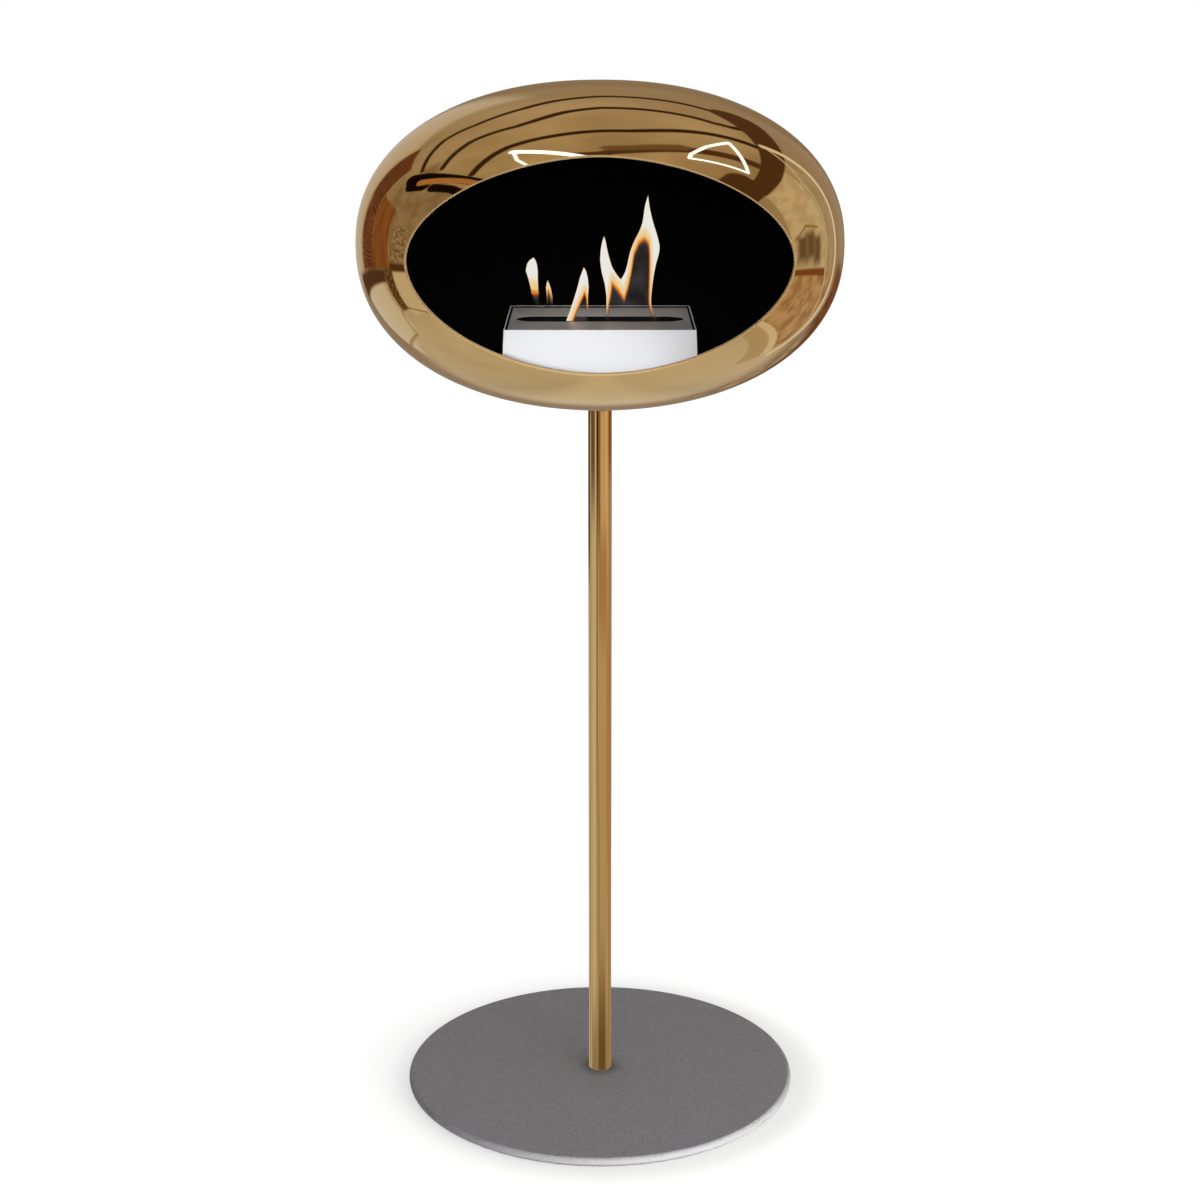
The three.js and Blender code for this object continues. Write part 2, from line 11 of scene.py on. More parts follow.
import bpy
import numpy as np
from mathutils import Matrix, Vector


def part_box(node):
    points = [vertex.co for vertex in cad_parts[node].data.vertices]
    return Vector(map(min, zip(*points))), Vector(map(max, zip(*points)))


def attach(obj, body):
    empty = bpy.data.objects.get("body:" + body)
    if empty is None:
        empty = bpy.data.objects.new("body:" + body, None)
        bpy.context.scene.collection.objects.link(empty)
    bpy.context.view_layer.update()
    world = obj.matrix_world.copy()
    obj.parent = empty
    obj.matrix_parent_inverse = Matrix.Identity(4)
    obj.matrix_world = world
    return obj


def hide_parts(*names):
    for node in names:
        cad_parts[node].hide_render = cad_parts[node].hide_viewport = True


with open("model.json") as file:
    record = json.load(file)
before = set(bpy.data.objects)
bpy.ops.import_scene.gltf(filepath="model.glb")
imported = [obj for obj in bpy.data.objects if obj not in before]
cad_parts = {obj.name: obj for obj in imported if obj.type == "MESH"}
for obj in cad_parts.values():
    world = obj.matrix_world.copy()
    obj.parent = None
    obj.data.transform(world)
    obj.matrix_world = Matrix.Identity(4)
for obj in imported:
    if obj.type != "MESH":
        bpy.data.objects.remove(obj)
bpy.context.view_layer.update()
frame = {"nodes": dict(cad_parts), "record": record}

bl_info = {
    "name": "Bioethanol fireplace on a pole",
    "version": (1, 0, 0),
    "blender": (4, 5, 0),
    "location": "3D View > Sidebar > Fireplace",
    "description": "Models and finishes a free-standing bioethanol fireplace over its packed solids",
    "category": "Add Mesh",
}


# ---------- sizes and colours a user would change ----------
def width_of(node):
    """How wide a CAD node is along X."""
    low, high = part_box(node)
    return high.x - low.x


def number(description, default, **limits):
    return bpy.props.FloatProperty(description=description, default=default, **limits)


def length(description, default):
    return number(description, default, unit="LENGTH", precision=4)


def share(description, default):
    return number(description, default, min=0, max=1, subtype="FACTOR")


def colour(description, default):
    return bpy.props.FloatVectorProperty(
        description=description, default=default, subtype="COLOR", size=3, min=0, max=1
    )


class DomeSettings(bpy.types.PropertyGroup):
    radius: length("Widest radius of the dome", width_of("dome_lower_skin") / 2)
    half_height: length("From the dome's centre to its top", 0.198)
    centre: length("Height of the dome's centre above the floor", 1.12)
    roundness: number("Exponent of the meridian", 2.19, min=2)
    mouth_half_width: length("Half the width of the mouth", 0.2235)
    mouth_half_height: length("Half the height of the mouth", 0.122)
    mouth_roundness: number("Exponent of the mouth's outline", 1.85, min=1)
    skin: length("Thickness of the polished skin", 0.0015)
    wall: length("From the polished skin to the outside of the liner", 0.0085)
    liner: length("Thickness of the black liner", 0.001)
    lip_rounding: length("Radius of the satin edge round the mouth", 0.0011)
    lip_gold: colour("Colour of the satin edge", (0.8, 0.54, 0.28))
    gold: colour("Colour of the polished gold", (0.76, 0.565, 0.29))
    gold_roughness: share("Roughness of the mirror polish", 0.035)
    lining: colour("Colour of the matt black lining", (0.0035, 0.0033, 0.0032))


class StandSettings(bpy.types.PropertyGroup):
    plate_radius: length("Radius of the floor plate", width_of("base_plate") / 2)
    plate_low: length("Height of the floor plate's underside", 0.002)
    plate_top: length("Height of the floor plate's top", 0.012)
    plate_rounding: length("Radius of the floor plate's upper edge", 0.0055)
    plate_under_rounding: length("Radius of the floor plate's lower edge", 0.0038)
    plate_grey: colour("Colour of the powder coat", (0.17, 0.172, 0.193))
    pole_radius: length("Outer radius of the pole", width_of("pole_tube") / 2)
    pole_wall: length("Wall of the pole's tube", 0.002)
    pole_chamfer: length("Chamfer at both ends of the pole", 0.0008)


class BurnerSettings(bpy.types.PropertyGroup):
    width: length("Width of the burner at its top edge", 0.231)
    depth: length("Depth of the burner at its top edge", 0.224)
    low: length("Height of the burner's underside", 0.97)
    top: length("Height of the burner's rim", 1.03)
    flare: length("How far each side stands out at the bottom", 0.003)
    wall: length("Thickness of the burner's rim", 0.0013)
    fold: length("Radius of the burner's corners", 0.001)
    plate_width: length("Width of the slotted plate", 0.2236)
    plate_depth: length("Depth of the slotted plate", 0.2162)
    plate_low: length("Height of the slotted plate's underside", 1.0268)
    plate_top: length("Height of the slotted plate's top", 1.0282)
    rear_gap: length("From the slotted plate to the rim behind it", 0.006)
    slot_length: length("Length of the slot over its round ends", 0.208)
    slot_width: length("Width of the slot", 0.05)
    steel: colour("Colour of the bright satin steel", (0.86, 0.87, 0.9))
    plate_steel: colour("Colour of the heat-toned brushed steel", (0.47, 0.45, 0.435))


class FlameSettings(bpy.types.PropertyGroup):
    bright: colour("Colour of the flames' bright part", (0.83, 0.8, 0.76))
    yellow: colour("Colour towards the core", (0.85, 0.6, 0.28))
    amber: colour("Colour inside the bright edge", (0.72, 0.22, 0.025))
    ember: colour("Colour where the flames go out", (0.2, 0.045, 0.008))
    smoke: colour("Colour of the faint core", (0.168, 0.149, 0.146))
    foot: colour("Colour of the faint foot over the slot", (0.05, 0.034, 0.036))


class StudioSettings(bpy.types.PropertyGroup):
    white: colour("Colour of the floor and the background", (1, 1, 1))
    soft_light: number("Strength of the light from all round", 0.62)
    key_light: number("Watts of the key lamp", 42)
    front_light: number("Watts of the front lamp", 42)
    flame_light: number("Watts of the lamp over the flames", 0.135)
    face_light: number("Watts of the spot on the burner's face", 124)
    rim_light: number("Watts of the low lamp beside the plate", 13.8)


SETTINGS = {
    "fireplace_dome": DomeSettings,
    "fireplace_stand": StandSettings,
    "fireplace_burner": BurnerSettings,
    "fireplace_flames": FlameSettings,
    "fireplace_studio": StudioSettings,
}


# ---------- small modelling helpers ----------
def deselect():
    bpy.ops.object.select_all(action="DESELECT")


def only(obj):
    deselect()
    obj.select_set(True)
    bpy.context.view_layer.objects.active = obj


def mode(name):
    bpy.ops.object.mode_set(mode=name)


def pick(obj, kind, wanted):
    """Selects, in edit mode, the polygons or edges of obj for whose corner points wanted(points) is true."""
    mode("EDIT")
    bpy.ops.mesh.select_mode(type="FACE" if kind == "polygons" else "EDGE")
    bpy.ops.mesh.select_all(action="DESELECT")
    mode("OBJECT")
    points = obj.data.vertices
    for element in getattr(obj.data, kind):
        element.select = wanted([points[i].co for i in element.vertices])
    mode("EDIT")


def finished(obj, body, slot_name, *nodes):
    """Settles a piece: its place in its mesh, the body it rides on, its finish and the CAD nodes it stands for."""
    only(obj)
    bpy.ops.object.transform_apply(location=True, rotation=True, scale=True)
    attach(obj, body)
    if slot_name:
        wear(obj, slot_name)
    if nodes:
        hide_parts(*nodes)
    deselect()


def wear(obj, slot_name):
    obj.data.materials.clear()
    obj.data.materials.append(finish_of(slot_name))


def facing_out(obj):
    only(obj)
    mode("EDIT")
    bpy.ops.mesh.select_all(action="SELECT")
    bpy.ops.mesh.remove_doubles(threshold=1e-6)
    bpy.ops.mesh.normals_make_consistent(inside=False)
    mode("OBJECT")


def modified(obj, kind, **settings):
    """Gives obj a modifier with these settings and applies it."""
    only(obj)
    modifier = obj.modifiers.new(kind.lower(), kind)
    for key, value in settings.items():
        setattr(modifier, key, value)
    bpy.ops.object.modifier_apply(modifier=modifier.name)


def smooth(obj):
    only(obj)
    bpy.ops.object.shade_smooth()


def rounded_by_angle(obj, degrees):
    """Smooths the shading over edges flatter than this, and keeps large faces flat up to their bevels."""
    only(obj)
    bpy.ops.object.shade_smooth_by_angle(angle=math.radians(degrees))
    modified(obj, "WEIGHTED_NORMAL", keep_sharp=True, weight=100)


def combined(obj, other, operation):
    """Takes other's shape out of obj, or adds it as one closed body, and removes other."""
    modified(obj, "BOOLEAN", operation=operation, solver="EXACT", object=other)
    bpy.data.objects.remove(other)


def cut(obj, cutter):
    combined(obj, cutter, "DIFFERENCE")


def eased(obj, width):
    """Breaks the sharp edges with a small applied bevel."""
    modified(obj, "BEVEL", width=width, segments=2, limit_method="ANGLE", angle_limit=math.radians(40))


def named(name):
    """The object that was just added, under this name and with its place in its mesh."""
    obj = bpy.context.active_object
    obj.name = obj.data.name = name
    bpy.ops.object.transform_apply(location=True, rotation=True, scale=True)
    return obj


def cylinder(name, radius, low, high, steps):
    deselect()
    bpy.ops.mesh.primitive_cylinder_add(
        vertices=steps, radius=radius, depth=high - low, location=(0, 0, (low + high) / 2), end_fill_type="NGON"
    )
    return named(name)


def box(name, low, high):
    deselect()
    size = [b - a for a, b in zip(low, high)]
    bpy.ops.mesh.primitive_cube_add(size=1, location=[(a + b) / 2 for a, b in zip(low, high)], scale=size)
    return named(name)


def bored(obj, radius, low, high, steps):
    """Cuts a round hole along Z right through obj."""
    cut(obj, cylinder("bore", radius, low - 0.01, high + 0.01, steps))


def read(obj, key):
    """One vector for each vertex of obj."""
    flat = np.empty(len(obj.data.vertices) * 3)
    obj.data.vertices.foreach_get(key, flat)
    return flat.reshape(-1, 3)


def store(obj, key, values):
    """Keeps one value for each vertex of obj, for its material to read."""
    attribute = obj.data.attributes.new(key, "FLOAT", "POINT")
    attribute.data.foreach_set("value", values.astype(np.float32))


def rolled(name, columns, rows, place):
    """A grid rolled up: its columns go once round and its rows follow place(row, turn), an array of points."""
    deselect()
    bpy.ops.mesh.primitive_grid_add(x_subdivisions=columns, y_subdivisions=rows, size=2)
    obj = named(name)
    flat = read(obj, "co")
    turn = np.round((flat[:, 0] + 1) / 2 * columns) / columns
    row = np.round((flat[:, 1] + 1) / 2 * rows).astype(int)
    obj.data.vertices.foreach_set("co", place(row, turn % 1.0).ravel())
    obj.data.update()
    facing_out(obj)
    smooth(obj)
    return obj


# ---------- node helpers ----------
def title(key):
    """half_width as a socket's label: Half Width."""
    return key.replace("_", " ").title()


class Nodes:
    """A node tree with short calls to add and link nodes."""

    def __init__(self, tree):
        self.tree = tree

    def put(self, socket, value):
        if isinstance(value, bpy.types.NodeSocket):
            self.tree.links.new(value, socket)
        elif value is not None:
            socket.default_value = value

    def fill(self, sockets, values):
        """Links or sets each named socket."""
        for key, value in values.items():
            self.put(sockets[key], value)

    def add(self, kind, inputs=None, **settings):
        node = self.tree.nodes.new(kind)
        for key, value in settings.items():
            setattr(node, key, value)
        self.fill(node.inputs, inputs or {})
        return node

    def math(self, operation, *values):
        node = self.add("ShaderNodeMath", operation=operation)
        self.fill(node.inputs, dict(enumerate(values)))
        return node.outputs[0]

    plus = partialmethod(math, "ADD")
    minus = partialmethod(math, "SUBTRACT")
    times = partialmethod(math, "MULTIPLY")
    least = partialmethod(math, "MINIMUM")
    most = partialmethod(math, "MAXIMUM")

    def vector(self, operation, *values):
        node = self.add("ShaderNodeVectorMath", operation=operation)
        self.fill(node.inputs, dict(enumerate(values)))
        return node.outputs["Value" if operation in ("DOT_PRODUCT", "LENGTH") else "Vector"]

    def parts(self, vector):
        """The X, Y and Z of a vector."""
        return self.add("ShaderNodeSeparateXYZ", {"Vector": vector}).outputs

    def between(self, value, low, high, to_low=0.0, to_high=1.0, interpolation="SMOOTHSTEP"):
        ranges = {"Value": value, "From Min": low, "From Max": high, "To Min": to_low, "To Max": to_high}
        return self.add("ShaderNodeMapRange", ranges, interpolation_type=interpolation).outputs["Result"]

    def graded(self, mask, to_low, to_high, low=0.2, high=0.8):
        """A value that follows a mask evenly."""
        return self.between(mask, low, high, to_low, to_high, "LINEAR")

    def soft(self, value, softness):
        """A mask that is 1 where value is over 0, with a soft border."""
        return self.between(value, self.times(softness, -0.5), self.times(softness, 0.5))

    def contrasted(self, mask, contrast):
        """A mask with its distance from 0.5 multiplied."""
        return self.plus(self.times(self.minus(mask, 0.5), contrast), 0.5)

    def mix(self, factor, a, b):
        node = self.add("ShaderNodeMix", data_type="RGBA")
        self.put(node.inputs["Factor"], factor)
        for socket, value in ((node.inputs[6], a), (node.inputs[7], b)):
            self.put(socket, (*value, 1) if isinstance(value, (tuple, list)) and len(value) == 3 else value)
        return node.outputs[2]

    def noise(self, place, size, detail=2.0, **more):
        inputs = {"Vector": place, "Scale": size, "Detail": detail, **more}
        return self.add("ShaderNodeTexNoise", inputs).outputs["Fac"]

    def stored(self, key):
        """A value that the mesh keeps for each vertex."""
        return self.add("ShaderNodeAttribute", attribute_name=key).outputs["Fac"]

    def bump(self, height, distance, strength):
        inputs = {"Height": height, "Strength": strength, "Distance": distance}
        return self.add("ShaderNodeBump", inputs).outputs["Normal"]

    def group(self, tree, **inputs):
        node = self.add("ShaderNodeGroup", node_tree=tree)
        self.fill(node.inputs, {title(key): value for key, value in inputs.items()})
        return node.outputs


def new_group(name, outputs, **inputs):
    """A shader node group, with vector=None for a vector input: (group, its nodes, given inputs, output sockets)."""
    tree = bpy.data.node_groups.new(name, "ShaderNodeTree")
    for key, default in inputs.items():
        kind = "Float" if isinstance(default, float) else "Vector"
        socket = tree.interface.new_socket(title(key), in_out="INPUT", socket_type="NodeSocket" + kind)
        if default is not None:
            socket.default_value = default
    for label in outputs:
        tree.interface.new_socket(label, in_out="OUTPUT", socket_type="NodeSocketFloat")
    nodes = Nodes(tree)
    return tree, nodes, nodes.add("NodeGroupInput").outputs, nodes.add("NodeGroupOutput").inputs


def once(make):
    """A group or material is built on first use and kept for these words."""
    kept = {}

    def get(*words):
        if words not in kept:
            kept[words] = make(*words)
        return kept[words]

    return get


@once
def speckle_group():
    """Fine even texture: a mask from 0 to 1 and a height, as on powder coat, rubber or sintered bronze."""
    tree, n, given, out = new_group("Speckle", ("Mask", "Height"), vector=None, size=900.0, contrast=0.5)
    fine = n.noise(given["Vector"], given["Size"], 3.0)
    coarse = n.noise(given["Vector"], n.times(given["Size"], 0.12))
    mask = n.contrasted(n.plus(n.times(fine, 0.9), n.times(coarse, 0.1)), given["Contrast"])
    n.fill(out, {"Mask": n.graded(mask, 0.0, 1.0, 0.0, 1.0), "Height": fine})
    return tree


@once
def brushing_group():
    """Fine parallel scratches along the least stretched axis: a mask round 0.5."""
    tree, n, given, out = new_group("Brushing", ("Mask",), vector=None, stretch=(30.0, 2600.0, 2600.0), contrast=0.5)
    place = n.vector("MULTIPLY", given["Vector"], given["Stretch"])
    fine = n.noise(place, 1.0, 4.0, Roughness=0.65)
    wide = n.noise(place, 0.15)
    n.put(out["Mask"], n.contrasted(n.plus(n.times(fine, 0.7), n.times(wide, 0.3)), given["Contrast"]))
    return tree


@once
def handling_group():
    """Soft cloudy marks left by polishing and handling: a mask from 0 to 1."""
    tree, n, given, out = new_group("Handling marks", ("Mask",), vector=None, size=9.0)
    n.put(out["Mask"], n.between(n.noise(given["Vector"], given["Size"], 5.0, Distortion=0.6), 0.35, 0.7))
    return tree


def blank_material(name):
    """(material, its nodes, its Principled shader's inputs, the Object coordinates)."""
    material = bpy.data.materials.new(name)
    material.use_nodes = True
    nodes = Nodes(material.node_tree)
    look = material.node_tree.nodes["Principled BSDF"].inputs
    return material, nodes, look, nodes.add("ShaderNodeTexCoord").outputs["Object"]


def scaled(paint, factor):
    return tuple(min(1.0, c * factor) for c in paint)


def shades(n, mask, paint, dark, light):
    """A colour that a mask takes from darker to lighter than it is written."""
    return n.mix(mask, scaled(paint, dark), scaled(paint, light))


# ---------- finishes: each gives the inputs of a Principled shader ----------
def grainy(n, place, size, contrast, dark, light, roughness, bump):
    """A finish with a fine even grain."""
    grain = n.group(speckle_group(), vector=place, size=size, contrast=contrast)
    return {
        "Base Color": n.mix(grain["Mask"], dark, light),
        "Roughness": n.graded(grain["Mask"], *roughness),
        "Normal": n.bump(grain["Height"], *bump),
    }


def black_enamel(n, place):
    lining = bpy.context.scene.fireplace_dome.lining
    dark, light = scaled(lining, 0.75), scaled(lining, 1.3)
    paint = grainy(n, place, 700.0, 0.8, dark, light, (0.84, 0.94), (0.0002, 0.4))
    return {**paint, "Specular IOR Level": 0.12}


def bronze(n, place):
    metal = grainy(n, place, 1400.0, 1.2, (0.32, 0.17, 0.065), (0.5, 0.3, 0.13), (0.3, 0.42), (0.00005, 0.5))
    return {**metal, "Metallic": 0.95}


def black_rubber(n, place):
    dark, light = (0.016, 0.014, 0.012), (0.032, 0.028, 0.024)
    return grainy(n, place, 1100.0, 1.0, dark, light, (0.7, 0.85), (0.0001, 0.5))


def grey_powder_coat(n, place):
    """Grainier on the plate's top than on its edge, and darkened close round the pole by painted shade."""
    s = bpy.context.scene.fireplace_stand
    at = n.parts(place)
    contrast = n.between(at["Z"], s.plate_top - 0.004, s.plate_top - 0.001, 0.5, 4.0)
    grain = n.group(speckle_group(), vector=place, size=800.0, contrast=contrast)
    away = n.math("SQRT", n.plus(n.math("POWER", at["X"], 2.0), n.math("POWER", at["Y"], 2.0)))
    # Painted shade: the powder coat darkens close round the pole's foot.
    painted_pole_shade = n.between(away, s.pole_radius * 2.4, s.pole_radius * 0.9, 0.0, 0.6)
    return {
        "Base Color": n.mix(painted_pole_shade, shades(n, grain["Mask"], s.plate_grey, 0.64, 1.34), scaled(s.plate_grey, 0.2)),
        "Roughness": n.graded(grain["Mask"], 0.34, 0.46),
        "Normal": n.bump(grain["Height"], 0.0001, 0.08),
    }


def polished_gold(n, place):
    """Mirror-polished, with the lip of the mouth satin."""
    s = bpy.context.scene.fireplace_dome
    marks = n.group(handling_group(), vector=place, size=7.0)["Mask"]
    lip = n.stored("lip")
    polish = n.graded(marks, s.gold_roughness * 0.7, s.gold_roughness * 1.35, 0.0, 1.0)
    return {
        "Base Color": n.mix(lip, shades(n, marks, s.gold, 0.985, 1.015), s.lip_gold[:]),
        "Roughness": n.plus(polish, n.times(lip, 0.35)),
        "Metallic": n.minus(1.0, n.times(lip, 0.9)),
    }


def stainless(n, place):
    """Bright satin, blackened inside the rim by painted shade."""
    s = bpy.context.scene.fireplace_burner
    lines = n.group(brushing_group(), vector=place, contrast=0.6)["Mask"]
    at = n.parts(place)
    out_x = n.math("DIVIDE", n.math("ABSOLUTE", at["X"]), s.width / 2 - s.wall * 0.5)
    out_y = n.math("DIVIDE", n.math("ABSOLUTE", at["Y"]), s.depth / 2 - s.wall * 0.5)
    inside = n.between(n.most(out_x, out_y), 1.0, 0.996)
    # Painted shade: the inside of the box below the rim is made nearly black.
    painted_inner_shade = n.times(inside, n.between(at["Z"], s.top - 0.0002, s.top - 0.0006))
    return {
        "Base Color": n.mix(painted_inner_shade, shades(n, lines, s.steel, 0.97, 1.02), scaled(s.steel, 0.012)),
        "Roughness": n.graded(lines, 0.3, 0.4),
        "Metallic": 0.1,
        "Normal": n.bump(lines, 0.00003, 0.4),
    }


def brushed_plate(n, place):
    """Heat-toned and brushed, blackened on the cut edges by painted shade."""
    s = bpy.context.scene.fireplace_burner
    lines = n.group(brushing_group(), vector=place, contrast=0.9)["Mask"]
    marks = n.group(handling_group(), vector=place, size=22.0)["Mask"]
    steel = shades(n, lines, s.plate_steel, 0.8, 1.2)
    warm = n.mix(n.times(marks, 0.3), steel, scaled(s.plate_steel, 0.8))
    height = n.parts(place)["Z"]
    # Painted shade: the plate's cut edges, between its top and its underside, are made nearly black.
    under_top = n.between(height, s.plate_top - 0.0002, s.plate_top - 0.0006)
    over_low = n.between(height, s.plate_low - 0.0006, s.plate_low - 0.0002)
    return {
        "Base Color": n.mix(n.times(under_top, over_low), warm, scaled(s.plate_steel, 0.03)),
        "Roughness": n.graded(lines, 0.34, 0.46),
        "Metallic": 0.2,
        "Normal": n.bump(lines, 0.00004, 0.5),
    }


def zinc_steel(n, place):
    spangle = n.add("ShaderNodeTexVoronoi", {"Vector": place, "Scale": 260.0}, feature="F1")
    cells = n.add("ShaderNodeSeparateColor", {"Color": spangle.outputs["Color"]}).outputs["Red"]
    return {
        "Base Color": n.mix(cells, (0.4, 0.41, 0.43), (0.52, 0.53, 0.55)),
        "Roughness": n.graded(cells, 0.32, 0.46, 0.0, 1.0),
        "Metallic": 0.9,
    }


def ceramic_fibre(n, place):
    fibres = n.group(brushing_group(), vector=place, stretch=(900.0, 160.0, 900.0), contrast=1.4)["Mask"]
    return {
        "Base Color": n.mix(fibres, (0.58, 0.54, 0.47), (0.8, 0.77, 0.7)),
        "Roughness": n.graded(fibres, 0.88, 0.98),
        "Normal": n.bump(fibres, 0.0006, 0.8),
    }


def sooted_steel(n, place):
    """Steel made nearly black as painted shade inside the burner, bare where it was rubbed."""
    marks = n.group(handling_group(), vector=place, size=35.0)["Mask"]
    return {
        "Base Color": n.mix(marks, (0.006, 0.0055, 0.005), (0.03, 0.027, 0.024)),
        "Roughness": n.graded(marks, 0.6, 0.35, 0.0, 1.0),
        "Metallic": 0.6,
    }


def flame_gas(n, place):
    """Bright towards its rim and tip, amber round the core, and a see-through smoky core over the slot."""
    s = bpy.context.scene.fireplace_flames
    core, edge, rise = n.stored("core"), n.stored("edge"), n.stored("rise")
    glow = n.mix(n.between(edge, 0.0, 0.7), s.yellow[:], s.bright[:])
    for low, high, paint in ((-9.0, -3.4, s.yellow), (-2.9, -0.9, s.amber), (-0.9, 0.7, s.ember)):
        glow = n.mix(n.between(core, low, high), glow, paint[:])
    smoke = shades(n, n.between(n.noise(place, 45.0, 3.0), 0.3, 0.7), s.smoke, 0.5, 1.5)
    glow = n.mix(n.between(core, 0.0, 2.2), glow, smoke)
    solid = n.between(core, -1.0, 2.0, 0.97, 0.08)
    soft_side = n.most(n.between(edge, 0.0, 2.5), n.between(core, 1.0, -1.0))
    return {
        "Base Color": (0, 0, 0, 1),
        "Emission Color": n.mix(n.between(rise, 0.7, 2.3), s.foot[:], glow),
        "Emission Strength": 1.0,
        "Roughness": 1.0,
        "Specular IOR Level": 0.0,
        "Alpha": n.times(n.times(solid, soft_side), n.between(rise, 0.3, 2.2)),
    }


FINISHES = {
    make.__name__: make
    for make in (
        polished_gold, black_enamel, grey_powder_coat, stainless, brushed_plate, zinc_steel, bronze, black_rubber,
        ceramic_fibre, sooted_steel, flame_gas,
    )
}


@once
def finish_of(slot_name):
    material, n, look, place = blank_material(slot_name)
    n.fill(look, FINISHES[slot_name](n, place))
    return material


# ---------- the dome ----------
NECK_BORE = 0.0128  # radius of the hole for the swivel's bush, through the dome and the ring nut
NECK_HEIGHTS = (0.91, 0.93)  # the dome's bottom lies between these
BUSH_BORE = 0.0063  # radius of the hole for the swivel's spindle
DOME_COLUMNS, LINER_COLUMNS = 256, 160
DOME_OUTER_ROWS, DOME_INNER_ROWS, LIP_STEPS = 121, 36, 6
LINER_OUTER_ROWS, LINER_INNER_ROWS = 49, 97
LIP_SETBACK = 0.0003  # from the lip ring's inner end to the outside of the liner
LIP_REACH = 0.012  # how far the lip ring goes in behind the skin, as a share of the way to the back
BEHIND_LIP = -0.0008  # the liner's mouth is that much wider than the lip, so that it doesn't show


class DomeShape:
    """The dome's surfaces: a rounded body of revolution about Z, with a mouth cut straight through its front."""

    def __init__(self, settings):
        self.s = settings

    def radii(self, inset):
        return self.s.radius - inset, self.s.half_height - inset

    def mouth(self, turn, inset, shrink=0.0):
        """Points of the mouth's outline on the surface that lies inset behind the polished one."""
        angle = 2 * math.pi * turn
        power = 2 / self.s.mouth_roundness
        cos, sin = np.cos(angle), np.sin(angle)
        x = (self.s.mouth_half_width - shrink) * np.sign(cos) * np.abs(cos) ** power
        z = (self.s.mouth_half_height - shrink) * np.sign(sin) * np.abs(sin) ** power
        radius, half = self.radii(inset)
        across = radius * (1 - (np.abs(z) / half) ** self.s.roundness) ** (1 / self.s.roundness)
        return np.stack([x, -np.sqrt(across**2 - x**2), z], axis=1)

    def along(self, turn, share_of_way, inset, shrink=0.0):
        """Points on the surface from the mouth's outline, 0, to the middle of the back, 1."""
        start = self.mouth(turn, inset, shrink)
        start = start / np.linalg.norm(start, axis=1, keepdims=True)
        back = np.array([0.0, 1.0, 0.0])
        angle = np.arccos(np.clip(start @ back, -1, 1))[:, None]
        t = share_of_way[:, None]
        way = (np.sin((1 - t) * angle) * start + np.sin(t * angle) * back) / np.sin(angle)
        radius, half = self.radii(inset)
        n = self.s.roundness
        flat = np.hypot(way[:, 0], way[:, 1]) / radius
        return way / ((flat**n + (np.abs(way[:, 2]) / half) ** n) ** (1 / n))[:, None]

    def lifted(self, points):
        return points + np.array([0, 0, self.s.centre])

    def normals(self, points):
        """Exact normals of the polished surface."""
        n = self.s.roundness
        x, y, z = (points - np.array([0, 0, self.s.centre])).T
        h = np.maximum(np.hypot(x, y), 1e-9)
        flat = (h / self.s.radius) ** (n - 1) / self.s.radius / h
        steep = np.sign(z) * (np.abs(z) / self.s.half_height) ** (n - 1) / self.s.half_height
        normal = np.stack([x * flat, y * flat, steep], axis=1)
        return normal / np.linalg.norm(normal, axis=1, keepdims=True)

    def off_surface(self, points):
        """How far each point is from the polished surface, roughly, in metres."""
        n = self.s.roundness
        x, y, z = (points - np.array([0, 0, self.s.centre])).T
        value = (np.hypot(x, y) / self.s.radius) ** n + (np.abs(z) / self.s.half_height) ** n
        return np.abs(value ** (1 / n) - 1) * self.s.half_height


def even_turns(shape, turn):
    """Spreads the columns evenly by length round the mouth."""
    fine = np.linspace(0, 1, 4001)
    points = shape.mouth(fine, 0.0)[:, [0, 2]]
    run = np.concatenate([[0], np.cumsum(np.linalg.norm(np.diff(points, axis=0), axis=1))])
    return np.interp(turn, run / run[-1], fine)


def lip_profile(shape, turn, steps):
    """The rounded edge from the polished surface to the straight way in: points for each column and step."""
    rounding = shape.s.lip_rounding
    edge = shape.mouth(turn, 0.0)
    inward = np.array([0.0, 1.0, 0.0])
    behind = shape.along(turn, np.full(len(turn), 0.002), 0.0)
    away = behind - edge
    away /= np.linalg.norm(away, axis=1, keepdims=True)
    cosine = away @ inward
    half = np.arccos(np.clip(cosine, -1, 1)) / 2
    reach = rounding / np.tan(half)
    middle = (away + inward) / np.linalg.norm(away + inward, axis=1, keepdims=True)
    centre = edge + middle * (rounding / np.sin(half))[:, None]
    first = edge + away * reach[:, None] - centre
    last = edge + inward * reach[:, None] - centre
    sweep = np.arccos(np.clip(np.sum(first * last, axis=1) / rounding**2, -1, 1))[:, None]
    return [
        centre + (np.sin((1 - t) * sweep) * first + np.sin(t * sweep) * last) / np.sin(sweep)
        for t in (step / steps for step in range(steps + 1))
    ]


def dome_rows(shape, turn):
    """Rings of the shell from the middle of the back, over the polished surface, round the lip and back inside."""
    one = np.ones(len(turn))
    s = shape.s
    lip = lip_profile(shape, turn, LIP_STEPS)
    way = [shape.along(turn, one * t, 0.0) for t in np.linspace(0, 1, 60)]
    whole = np.sum(np.linalg.norm(np.diff(way, axis=0), axis=2), axis=0)
    share_at_lip = 1.2 * np.linalg.norm(lip[0] - way[0], axis=1) / whole
    ways = (share_at_lip + t * (1 - share_at_lip) for t in np.linspace(1, 0, DOME_OUTER_ROWS))
    rows = [shape.along(turn, t, 0.0) for t in ways]
    rows += lip
    inner_end = s.wall - LIP_SETBACK
    rows += [shape.mouth(turn, inset) for inset in ((s.skin + s.wall) / 2, s.wall - 0.0008, inner_end)]
    rows += [shape.along(turn, one * LIP_REACH, inset) for inset in (inner_end, s.skin)]
    return rows + [shape.along(turn, one * t, s.skin) for t in np.linspace(0.05, 1, DOME_INNER_ROWS)]


